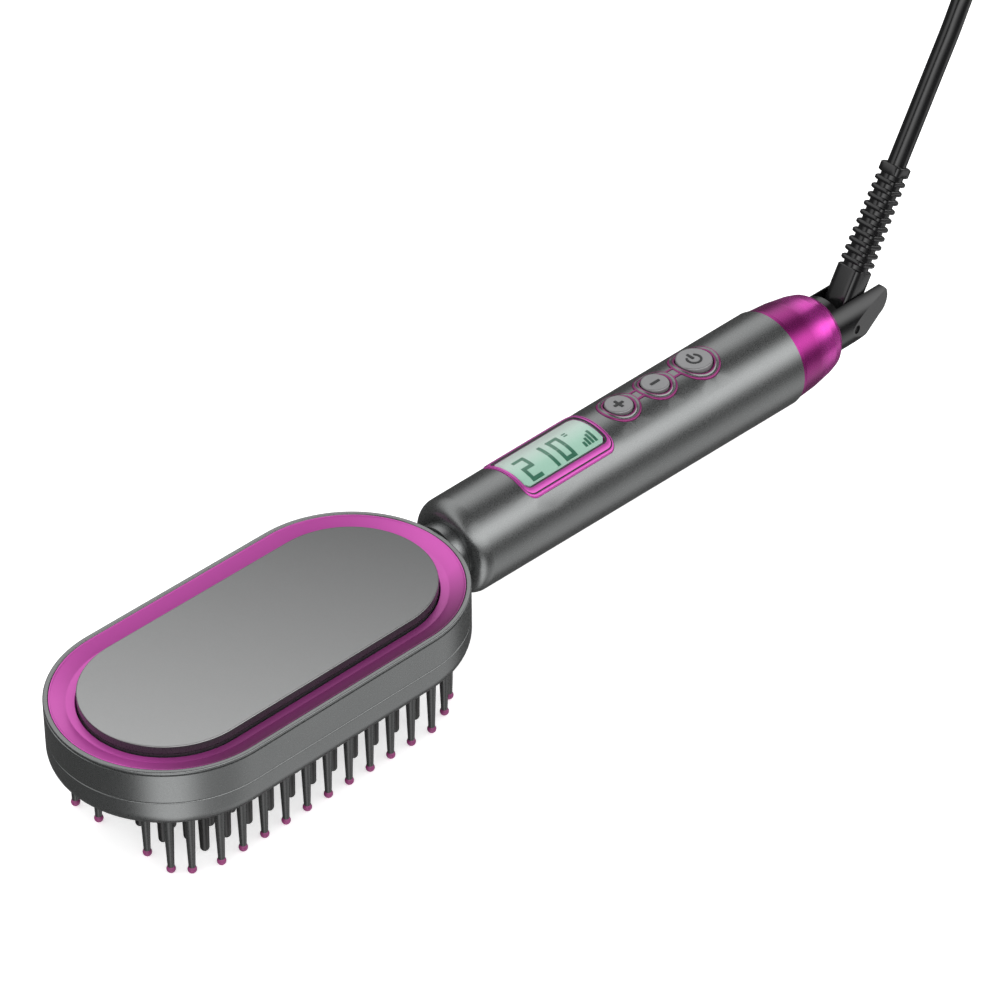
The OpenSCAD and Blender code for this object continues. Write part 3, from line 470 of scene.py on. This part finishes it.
def cord_route():
    """The cord's middle line: out of the relief, down to the coil, round it and on to the plug."""
    way = (EXIT - Vector((JX, 0, Z_AXIS))).normalized()
    start = coil_point(0) - Vector((CORD_D, 0, 0))
    free = [EXIT - way * CORD_D, EXIT, EXIT + way * CORD_D]
    free += [Vector((EXIT.x + x, y, z)) for x, y, z in FREE]
    free += [start - Vector((CORD_D, 0, 0)), start, coil_point(0)]
    line = flowing(free)
    line += [coil_point(i / COIL_STEPS) for i in range(int(TURNS * COIL_STEPS) + 1)]
    end = coil_point(TURNS)
    for s in (k / TAIL_STEPS for k in range(1, TAIL_STEPS + 1)):
        aside = TAIL_SHIFT * smooth((s - 0.2) / 0.8)
        rise = (PLUG_Z - COIL_LOW) * smooth(s / 0.75)
        line.append(end + Vector((-s * TAIL, aside, rise)))
    return line


def cord():
    """The cord as a tube along its route, with its length in metres."""
    line = cord_route()
    data = bpy.data.curves.new("power_lead", "CURVE")
    data.dimensions = "3D"
    data.bevel_depth = CORD_D / 2 * MM
    data.bevel_resolution = 6
    s = data.splines.new("POLY")
    s.points.add(len(line) - 1)
    for p, q in zip(s.points, line):
        p.co = (*(q * MM), 1)
    s.use_smooth = True
    data.materials.append(M["rubber"])
    o = bpy.data.objects.new("power_lead", data)
    scene.collection.objects.link(o)
    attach(o, "cord")
    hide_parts("power_cord", "cord_coil")
    length = sum((b - a).length for a, b in zip(line, line[1:]))
    return o, length * MM


def lofted(sections, m, seg=48):
    """Squarish ovals (height, half width, half depth, squareness) up the local Z axis of a matrix."""
    rings = []
    for h, wide, deep, square in sections:
        ring = []
        for k in range(seg):
            a = 2 * math.pi * k / seg
            c, s = math.cos(a), math.sin(a)
            ring.append(m @ Vector((math.copysign(abs(c) ** (2 / square), c) * wide,
                                    math.copysign(abs(s) ** (2 / square), s) * deep, h)))
        rings.append(ring)
    return skin(rings, caps=(True, True))


def plug():
    """The moulded plug: relief, shoulders, grip hollow and a face with round edges."""
    end = coil_point(TURNS)
    place = Matrix.Translation((end.x - TAIL, end.y + TAIL_SHIFT, PLUG_Z))
    m = place @ Matrix.Rotation(-math.pi / 2, 4, "Y")
    deep, wide = PLUG_Z, 13.0
    body = [(0, 4.1, 4.1, 2), (0.5, 4.6, 4.6, 2), (5, 5.1, 5.1, 2), (8.6, 5.9, 5.9, 2), (9.2, 6.4, 7.4, 2.2),
            (10.5, 6.65, 9.4, 2.4), (13, deep, 11.4, 2.8), (17, 6.7, 12.4, 3), (22, 6.45, 12.6, 3.2),
            (27, 6.6, 12.8, 3.4), (31, deep, wide, 3.6), (34.6, deep, wide, 3.6), (35.2, 6.6, 12.75, 3.6),
            (35.5, 6.1, 12.3, 3.6)]
    return piece("plug_moulding", *lofted(body, m), "black", "cord", ["plug_body"], angle=50)


# ---------------------------------------------------------------- head

def head_shells():
    """The two casings: a score line under the rim, a tongue in the seam, and a round lower edge."""
    score, half_cut, corner, bend = 1.0, 0.28, 0.35, 5.0
    inside, mouth, ledge = SHELL_R - 2, SHELL_R - 1.4, Z_CHANNEL - 1.3
    upper = [(inside, Z_SEAM, 0.15), (SHELL_R, Z_SEAM, corner), (SHELL_R, Z_RIM - score - half_cut),
             (SHELL_R - 0.55, Z_RIM - score), (SHELL_R, Z_RIM - score + half_cut), (SHELL_R, Z_RIM, 0.4),
             (mouth, Z_RIM, 0.3), (mouth, ledge, 0.1), (inside, ledge, 0.1)]
    tongue = [(30.4, Z_SEAM - 1.3), (31.4, Z_SEAM - 1.3), (31.4, Z_SEAM + 2.6), (30.4, Z_SEAM + 2.6)]
    piece("head_top", *joined(pill(rounded(upper)), pill(tongue)), "shell", "brush", ["upper_shell"])
    turns = [math.radians(77.3) * k / 14 for k in range(15)]
    arc = [(SHELL_R - bend + bend * math.cos(a), Z_BOT + bend - bend * math.sin(a)) for a in turns]
    lower = [(inside, Z_SEAM, 0.15), (SHELL_R, Z_SEAM, corner)] + arc
    lower += [(29.6, 21.7), (28.0, 21.7, 0.2), (28.0, 23.7, 0.2), (inside, 23.7, 0.5)]
    piece("head_base", *pill(rounded(lower)), "shell", "brush", ["lower_shell"])


# The well in the channel's floor, where the tank sits, and the place of its valve
VALVE_X, WELL_R, WELL_Z = HX + 20, 24.9, Z_LID - 9.8


def accent_channel():
    """The sunk channel with its cove and the tank's well, and the socket of the valve."""
    low, seat, wall, bore = Z_CHANNEL - 1.2, WELL_Z - 1.8, 1.2, 4.3
    path = [(0.5, WELL_Z), (WELL_R, WELL_Z, 0.8), (WELL_R, Z_CHANNEL, 0.3)]
    path += [(27.4, Z_CHANNEL, 1.5), (31.4, Z_RIM - 0.35, 0.4)]
    path += [(31.7, Z_RIM - 0.15, 0.1), (32.0, Z_RIM - 0.15, 0.1), (32.0, low, 0.2)]
    path += [(WELL_R + wall, low, 0.4), (WELL_R + wall, WELL_Z - wall, 0.4), (0.5, WELL_Z - wall)]
    verts, faces = pill(rounded(path, False), False, (True, True))
    # The tray's finish darkens its near side: painted shade.
    tray = piece("accent_channel", verts, faces, "tray", "brush", ["accent_tray"])
    cut(tray, *turned([(bore, WELL_Z - 3), (bore, WELL_Z + 2)], upright(VALVE_X, 0), 48, caps=(True, True)))
    cup = rounded([(bore, WELL_Z, 0.15), (bore, seat), (2.0, seat), (2.0, seat - 1),
                   (bore + wall, seat - 1, 0.3), (bore + wall, WELL_Z - 0.65)])
    piece("valve_socket", *turned(cup, upright(VALVE_X, 0), 48, loop=True), "accent", "brush")


def cut(o, verts, faces):
    """Takes a closed mesh away from a piece."""
    tool = piece("cutter", verts, faces, "accent", "brush")
    m = o.modifiers.new("cut", "BOOLEAN")
    m.object, m.solver = tool, "EXACT"
    o.modifiers.remove(o.modifiers["normals"])
    bpy.context.view_layer.update()
    made = bpy.data.meshes.new_from_object(o.evaluated_get(bpy.context.evaluated_depsgraph_get()))
    o.modifiers.clear()
    o.data = made
    bpy.data.objects.remove(tool)
    shade(o)


def tank_top():
    """The flat lid: satin on top with a painted sheen, its side faces dark with painted shade, with the lip
    that sits in the tank.
    """
    low, lip = Z_LID - 2.6, Z_LID - 4.1
    path = rounded([(0.5, low), (21.4, low), (21.4, lip, 0.1), (23.0, lip, 0.1), (23.0, low),
                    (24.6, low, 0.3), (24.6, Z_LID, 0.4), (20.0, Z_LID)], False)
    o = piece("tank_top", *pill(path, caps=(True, True), loop=False), "plateau", "tank", ["tank_lid"])
    o.data.materials.append(M["tank"])
    # Faces that don't face up take the dark tank plastic: painted shade on the lid's side.
    for p in o.data.polygons:
        if p.normal.z < 0.6:
            p.material_index = 1


# The bristles: two long rows, their corners and the two rounded ends
PITCH, PIN_Y, PIN_SHIFT, COLS = 7.75, 26.4, -1.0, 5
CORNER_Y, END_X, END_YS = 23.4, 51.3, (9.8, 19.3)
SIDES = (-1, 1)
PINS = [(HX + PIN_SHIFT + i * PITCH, s * PIN_Y) for i in range(-COLS, COLS + 1) for s in SIDES]
PINS += [(HX + PIN_SHIFT + s * PITCH * (COLS + 1), t * CORNER_Y) for s in SIDES for t in SIDES]
PINS += [(HX + s * END_X, t * y) for s in SIDES for t in SIDES for y in END_YS]
BALL, NECK_R, ROOT_R, PLATE_Z = 1.3, 0.95, 1.5, 20.2


def bristles():
    """Tapered shafts with a flared root, each with a ball at its tip."""
    seat = BALL + math.sqrt(BALL ** 2 - NECK_R ** 2)
    shaft = [(ROOT_R, PLATE_Z + 1), (ROOT_R, PLATE_Z), (ROOT_R + 0.55, PLATE_Z),
             (ROOT_R + 0.25, PLATE_Z - 0.3), (ROOT_R + 0.06, PLATE_Z - 0.8), (ROOT_R - 0.03, PLATE_Z - 1.4),
             (NECK_R, seat)]
    turns = [math.radians(50 + 13 * k) for k in range(11)]
    ball = [(NECK_R * 0.97, seat + 0.05)]
    ball += [(BALL * math.sin(a), BALL + BALL * math.cos(a)) for a in turns]
    ball.append((0.02, 0.0))
    shafts = [turned(shaft, upright(*p), 20, caps=(True, True)) for p in PINS]
    balls = [turned(ball, upright(*p), 20, caps=(True, True)) for p in PINS]
    piece("bristle_shafts", *joined(*shafts), "pin", "brush", ["outer_pins"])
    piece("bristle_balls", *joined(*balls), "accent_tip", "brush", ["pin_tips"], angle=60)



# ---------------------------------------------------------------- display and keys

DISPLAY_X = middle("display_lens", 0)
WINDOW = (width("display_lens", 0), width("display_lens", 1))
FRAME_END, FRAME_SIDE = 1.6, 3.1
SINK = -0.9         # how deep the frame, the rings and the panel reach into the handle

# The frame's section: the share of the way from its outer to its inner edge, and the height
FRAME_STEPS = [(0, SINK), (0, 0.02), (0.05, 0.22), (0.14, 0.27), (0.22, 0.2), (0.27, 0.02), (0.33, 0.18),
               (0.42, 0.28), (0.6, 0.3), (0.78, 0.26), (0.86, 0.12), (0.93, -0.05), (1, -0.15), (1, SINK)]

# The keys: what each is for, its place along the handle and its radius
KEYS = [("plus", 48.0, 4.2), ("minus", 62.8, 4.2), ("power", 79.0, 5.4)]

# The section of the rings round them, in the same way
RING_GAP, RING_W = 0.3, 2.0
RING_STEPS = [(0, SINK), (0, 0.1), (0.08, 0.26), (0.26, 0.28), (0.36, 0.08), (0.5, 0.02), (0.62, 0.1),
              (0.72, 0.28), (0.9, 0.27), (1, 0.1), (1, SINK)]


def barrel_r(x):
    """The handle's radius at x."""
    return R_FRONT + (R_REAR - R_FRONT) * (x - BX) / (CX - BX)


def on_barrel(x, y, h):
    """The point over (x, y) that lies h above the barrel's surface."""
    return (x, y, Z_AXIS + math.sqrt((barrel_r(x) + h) ** 2 - y * y))


def part_way(a, b, share):
    """The flat point that lies a share of the way from a to b."""
    return a[0] + (b[0] - a[0]) * share, a[1] + (b[1] - a[1]) * share


def oblong(x, lx, ly, r, per=6, side=12):
    """Points round a rectangle with round corners; as many whatever its size."""
    hx, hy = lx / 2, ly / 2
    ends = [(x + hx, hy - r), (x - hx + r, hy), (x - hx, -hy + r), (x + hx - r, -hy)]
    out = []
    for n, (sx, sy) in enumerate(((1, -1), (1, 1), (-1, 1), (-1, -1))):
        for k in range(per + 1):
            a = math.pi / 2 * (n - 1 + k / per)
            out.append((x + sx * (hx - r) + r * math.cos(a), sy * (hy - r) + r * math.sin(a)))
        start = out[-1]
        out += [part_way(start, ends[n], k / side) for k in range(1, side)]
    return out


def draped(outlines):
    """Rings on the barrel from (outline, height) pairs."""
    return [[on_barrel(x, y, h) for x, y in line] for line, h in outlines]


def display():
    """The frame with its groove and inner edge darkened by painted shade, the window, and the panel below
    it.
    """
    outer = oblong(DISPLAY_X, WINDOW[0] + 2 * FRAME_END, WINDOW[1] + 2 * FRAME_SIDE, 3)
    inner = oblong(DISPLAY_X, WINDOW[0] + 0.2, WINDOW[1] + 0.2, 1.5)
    lines = [([part_way(a, b, t) for a, b in zip(outer, inner)], h) for t, h in FRAME_STEPS]
    verts, faces = skin(draped(lines), loop=True)
    surround = piece("display_surround", verts, faces, "accent_satin", "brush", ["display_frame"])
    # The groove and the inner wall by the glass take the dark ink: painted shade.
    dark = [i for i, (t, _) in enumerate(FRAME_STEPS) if 0.2 < t < 0.3 or 0.75 < t < 1]
    second_tone(surround, "ink", dark, len(outer))
    piece("display_glass", *patch(*WINDOW, 1.4, 0.1, -0.1), "lens", "brush", ["display_lens"])
    piece("display_panel", *patch(WINDOW[0] - 0.3, WINDOW[1] - 0.3, 1.2, -0.3, SINK), "lcd", "brush")


def second_tone(o, mat, bands, count):
    """Gives the bands between rings of count points another finish."""
    o.data.materials.append(M[mat])
    for i in bands:
        for k in range(count):
            o.data.polygons[i * count + k].material_index = 1


def patch(lx, ly, r, top, low):
    """A slab that follows the barrel, from height low to height top."""
    cols, rows = 24, 12
    verts, faces = [], []
    for h in (top, low):
        for i in range(cols + 1):
            u = -1 + 2 * i / cols
            x = u * lx / 2
            edge = max(0, abs(x) - (lx / 2 - r))
            half = ly / 2 - r + math.sqrt(max(0, r * r - edge * edge))
            for j in range(rows + 1):
                verts.append(on_barrel(DISPLAY_X + x, half * (-1 + 2 * j / rows), h))
    n, m = rows + 1, (cols + 1) * (rows + 1)
    for i in range(cols):
        for j in range(rows):
            a = i * n + j
            faces += [(a, a + 1, a + n + 1, a + n), (m + a, m + a + n, m + a + n + 1, m + a + 1)]
    for i in range(cols):
        for j in (0, rows):
            a = i * n + j
            faces.append((a, a + n, m + a + n, m + a))
    for j in range(rows):
        for i in (0, cols):
            a = i * n + j
            faces.append((a, a + 1, m + a + 1, m + a))
    return verts, faces


SEGMENTS = {"0": "abcdef", "1": "bc", "2": "abged"}
SEGMENT_GAP = 0.08


def segment_boxes(digit, x, y, w, t):
    """Bars of a seven-segment digit, w wide and 2w high, as (x0, x1, y0, y1)."""
    h, g = 2 * w, SEGMENT_GAP
    place = {"a": (0, w, h - t, h), "b": (w - t, w, w, h), "c": (w - t, w, 0, w), "d": (0, w, 0, t),
             "e": (0, t, 0, w), "f": (0, t, w, h), "g": (0, w, w - t / 2, w + t / 2)}
    bars = [place[s] for s in SEGMENTS[digit]]
    return [(x + a + g, x + b - g, y + c + g, y + d - g) for a, b, c, d in bars]


def slab(x0, x1, y0, y1, top, low):
    """A thin bar that follows the barrel."""
    n = max(1, math.ceil((y1 - y0) / 0.6))
    rings = [[on_barrel(x, y, h) for x, y, h in ((x0, y, low), (x0, y, top), (x1, y, top), (x1, y, low))]
             for y in [y0 + (y1 - y0) * k / n for k in range(n + 1)]]
    return skin(rings, caps=(True, True))


def readout():
    """Three digits, two short strokes and four level bars, printed in green on the panel."""
    bars, top, low = [], -0.24, -0.34
    for n, digit in enumerate("210"):
        bars += segment_boxes(digit, DISPLAY_X - 12.6 + 6.6 * n, -6.6, 4.6, 1.35)
    for y in (0.6, 1.6):
        bars.append((DISPLAY_X + 6.8, DISPLAY_X + 8.2, y, y + 0.5))
    for n in range(4):
        x = DISPLAY_X + 9.0 + 1.3 * n
        bars.append((x, x + 0.9, -5.9, -4.2 + 0.9 * n))
    piece("display_readout", *joined(*[slab(*b, top, low) for b in bars]), "segment", "brush")


def key_symbol(kind, x, r):
    """The flat outlines of a key's mark as (x0, x1, y0, y1) bars."""
    a, t = r * 0.42, 0.42
    if kind == "plus":
        return [(x - a, x + a, -t, t), (x - t, x + t, t, a), (x - t, x + t, -a, -t)]
    if kind == "minus":
        return [(x - a, x + a, -t, t)]
    return [(x - t, x + t, 0.2, a + 0.6)]


def box(x0, x1, y0, y1, z0, z1):
    """A plain block between its corners."""
    return skin([[(x0, y0, z), (x1, y0, z), (x1, y1, z), (x0, y1, z)] for z in (z0, z1)], caps=(True, True))


def open_ring(x, near, far, low, high):
    """The ring of the power mark, open on one side."""
    section = [(near, low), (far, low), (far, high), (near, high)]
    turns = [math.radians(40 + 280 * k / 24) for k in range(25)]
    rings = [[(x + q * math.sin(a), q * math.cos(a), h) for q, h in section] for a in turns]
    return skin(rings, caps=(True, True))


def keys():
    """Keys with a hollow top and a flange under the handle's skin, and the marks printed on them."""
    for kind, x, r in KEYS:
        body = kind + "_key"
        top, foot, flange = Z_AXIS + barrel_r(x) + 0.7, Z_AXIS + 8.9, r + 0.8
        path = [(0.02, foot), (1.6, foot), (1.6, foot + 0.8), (flange, foot + 0.8, 0.1),
                (flange, foot + 1.6, 0.1), (r, foot + 1.6), (r, top, 0.5), (r * 0.8, top - 0.03, 0.3),
                (r * 0.4, top - 0.16), (0.02, top - 0.2)]
        verts, faces = turned(rounded(path, False), upright(x, 0), 64)
        piece(kind + "_key_cap", verts, faces, "key", body, [kind + "_button"])
        low, high = top - 0.3, top - 0.02
        marks = [box(*b, low, high) for b in key_symbol(kind, x, r)]
        if kind == "power":
            marks.append(open_ring(x, 1.75, 2.45, low, high))
        piece(kind + "_key_mark", *joined(*marks), "ink", body)


def key_rings(seg=72):
    """Double rings round the keys, joined in a chain."""
    turns = [2 * math.pi * k / seg for k in range(seg)]
    parts, bands, bridges = [], [], []
    for n, (_, x, r) in enumerate(KEYS):
        lines = []
        for t, h in RING_STEPS:
            q = r + RING_GAP + RING_W * (1 - t)
            lines.append(([(x + q * math.cos(a), q * math.sin(a)) for a in turns], h))
        parts.append(skin(draped(lines), loop=True))
        bands += [n * len(RING_STEPS) + i for i, (t, _) in enumerate(RING_STEPS) if 0.25 < t < 0.7]
    for (_, xa, ra), (_, xb, rb) in zip(KEYS, KEYS[1:]):
        x0, x1 = xa + ra + 1.9, xb - rb - 1.9
        bridges.append(slab(x0, x1, -1.5, 1.5, 0.05, SINK))
        parts += [slab(x0 - 0.1, x1 + 0.1, y - 0.3, y + 0.3, 0.24, SINK) for y in (-1.7, 1.7)]
    rings = piece("key_surround", *joined(*parts), "accent_ring", "brush", ["button_bezel"])
    second_tone(rings, "shell", bands, seg)
    piece("key_bridges", *joined(*bridges), "shell", "brush")



# ---------------------------------------------------------------- tail and relief

RIB_FROM, RIBS, RIB_T, COLLAR = 17.6, 10, 1.5, 3.0
HALF_W, HALF_D, CORE, SLIM = 4.5, 4.1, 3.9, 8 / 9
EDGE, PIN_HOLE = 0.35, 1.35


def relief():
    """The sleeve where the cord leaves: a smooth foot, ribs round a core and a collar."""
    pitch = (RELIEF_LEN - COLLAR - RIB_FROM) / RIBS
    foot = RIB_FROM - pitch + RIB_T
    rows = [(2.0, HALF_D - 0.5, HALF_W - 0.3, 4.5), (2.5, HALF_D, HALF_W, 4.5),
            (foot - EDGE, HALF_D, HALF_W, 4.5), (foot, HALF_D - EDGE, HALF_W - EDGE, 4.0)]
    for i in range(RIBS + 1):
        low = RIB_FROM + i * pitch
        high = low + (RIB_T if i < RIBS else COLLAR)
        k = 1 + (SLIM - 1) * i / RIBS
        w, d, core = HALF_W * k, HALF_D * k, CORE - 0.4 * i / RIBS
        rows += [(rows[-1][0], core, core, 2), (low, core, core, 2), (low, d - EDGE, w - EDGE, 4.0),
                 (low + EDGE, d, w, 4.5), (high - EDGE, d, w, 4.5), (high, d - EDGE, w - EDGE, 4.0)]
    rows.append((RELIEF_LEN, 3.1, 3.1, 2))
    turn = CORDWAYS @ Matrix.Translation((0, HALF_W, 0)) @ Matrix.Rotation(math.pi / 2, 4, "X")
    ends = [(PIN_HOLE, 0), (HALF_D + 0.2, 0), (HALF_D + 0.4, 0.2), (HALF_D + 0.4, 2 * HALF_W - 0.2),
            (HALF_D + 0.2, 2 * HALF_W), (PIN_HOLE, 2 * HALF_W)]
    verts, faces = joined(lofted(rows, CORDWAYS), turned(ends, turn, 64, loop=True))
    piece("relief_sleeve", verts, faces, "rubber", "cord", ["strain_relief"], angle=50)


def tail():
    """The cap that closes the handle, with a raised ring at its front and a hole for the fork."""
    sleeve, bore, hole, wall, insert = R_REAR - 1.9, 9.6, 5.3, 1.4, CX - 6
    path = [(sleeve, insert, 0.3), (sleeve, CX), (14.55, CX, 0.1), (14.95, CX + 0.2, 0.15),
            (14.95, CX + 1.1, 0.15), (14.65, CX + 1.3), (14.72, CX + 1.6, 0.3), (14.2, CX + 9, 8),
            (13.1, CX + 16, 6), (12.2, CX + 19.2, 2.2), (10.9, CAP_END, 0.4), (hole, CAP_END, 0.2),
            (hole, CAP_END - 2.4), (bore, CAP_END - 2.4), (bore, CX), (sleeve - wall, CX),
            (sleeve - wall, insert)]
    # The cap's finish is dark at its front and light at its rear: a painted highlight.
    piece("tail_cap_shell", *turned(rounded(path), ALONG, 96, loop=True), "cap", "brush", ["tail_cap"])



# ---------------------------------------------------------------- stage

# The dark room and its soft strips round the handle's direction, and the glows low down round the
# upright one: each with its middle, half its width and its fade in degrees, and its strength
ROOM, WHITE = 0.09, 1.15
STRIPS = [(-40, 6, 34, 1.40), (54, 4, 34, 2.7), (139, 6, 26, 0.55)]
LOW_GLOWS = [(-134, 8, 26, 1.3), (-42, 10, 28, 0.3)]


def swell(nt, value, at, flat, fade, height):
    """A height within flat of a value, falling to nothing over fade."""
    off = math_node(nt, "ABSOLUTE", math_node(nt, "SUBTRACT", value, at))
    n = nt.nodes.new("ShaderNodeMapRange")
    n.interpolation_type = "SMOOTHSTEP"
    nt.links.new(off, n.inputs[0])
    for k, v in enumerate((flat, flat + fade, height, 0.0)):
        n.inputs[k + 1].default_value = v
    return n.outputs[0]


def world_light():
    """White all round, and for reflections a dark room with long soft strips."""
    world = bpy.data.worlds.new("studio")
    scene.world = world
    world.use_nodes = True
    world.cycles.sampling_method = "NONE"
    nt = world.node_tree
    back = nt.nodes["Background"]
    back.inputs["Color"].default_value = (1, 1, 1, 1)
    way = nt.nodes.new("ShaderNodeSeparateXYZ")
    nt.links.new(nt.nodes.new("ShaderNodeTexCoord").outputs["Generated"], way.inputs[0])
    x, y, z = way.outputs
    total = ROOM
    across = math_node(nt, "ARCTAN2", math_node(nt, "MULTIPLY", y, -1.0), z)
    for *degrees, height in STRIPS:
        strip = swell(nt, across, *map(math.radians, degrees), height)
        total = math_node(nt, "ADD", strip, total)
    low = swell(nt, z, -0.7, 0.3, 0.35, 1.0)
    around = math_node(nt, "ARCTAN2", y, x)
    for *degrees, height in LOW_GLOWS:
        spot = swell(nt, around, *map(math.radians, degrees), height)
        total = math_node(nt, "ADD", math_node(nt, "MULTIPLY", spot, low), total)
    path = nt.nodes.new("ShaderNodeLightPath")
    pick = nt.nodes.new("ShaderNodeMix")
    nt.links.new(path.outputs["Is Glossy Ray"], pick.inputs[0])
    pick.inputs[2].default_value = WHITE
    nt.links.new(total, pick.inputs[3])
    nt.links.new(pick.outputs[0], back.inputs["Strength"])


def floor():
    """A wide pale floor that glows a little and shows in no reflection."""
    m, nt, b = nodes_of("pale_floor")
    b.inputs["Base Color"].default_value = (0.8, 0.8, 0.8, 1)
    b.inputs["Roughness"].default_value = 1.0
    b.inputs["Specular IOR Level"].default_value = 0.0
    b.inputs["Emission Color"].default_value = (1, 1, 1, 1)
    b.inputs["Emission Strength"].default_value = 0.62
    me = bpy.data.meshes.new("floor")
    half = 6.0
    corners = [(-half, -half, 0), (half, -half, 0), (half, half, 0), (-half, half, 0)]
    me.from_pydata(corners, [], [(0, 1, 2, 3)])
    me.materials.append(m)
    o = bpy.data.objects.new("floor", me)
    o.visible_glossy = False
    scene.collection.objects.link(o)


# The finish of the solids that are shown as they are
CAD_FINISH = {
    "shell": ["neck_collar", "barrel", "handle_cover", "pin_plate"],
    "tooth": ["heated_teeth"],
    "tank": ["tank_body"],
    "seal": ["tank_plug", "tank_seal"],
    "steel": ["tank_valve", "steam_cover", "heater_clamps", "head_screws", "cover_screw", "swivel_clip",
              "hinge_pin", "plug_pins"],
    "white": ["feed_tube", "thermal_fuse", "ptc_heaters"],
    "heater": ["heater_plate"],
    "orange": ["thermistor"],
    "wire": ["wiring_loom"],
    "grey": ["lcd_module", "contact_block", "cord_tie"],
    "black": ["button_switches", "board_parts", "swivel_fork"],
    "board": ["main_board"],
    "brass": ["slip_rings"],
}


def finish_cad():
    """Gives the solids their finishes, and the fork a soft edge."""
    for mat, names in CAD_FINISH.items():
        for n in names:
            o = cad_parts[n]
            o.data.materials.clear()
            o.data.materials.append(M[mat])
    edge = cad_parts["swivel_fork"].modifiers.new("edge", "BEVEL")
    edge.width = 0.0005
    edge.segments = 3
    edge.limit_method = "ANGLE"
    edge.angle_limit = math.radians(40)


scene.view_settings.view_transform = "Standard"
lead, lead_length = cord()
plug_moulding = plug()
head_shells()
accent_channel()
tank_top()
bristles()
display()
readout()
keys()
key_rings()
tail()
relief()
finish_cad()
world_light()
floor()
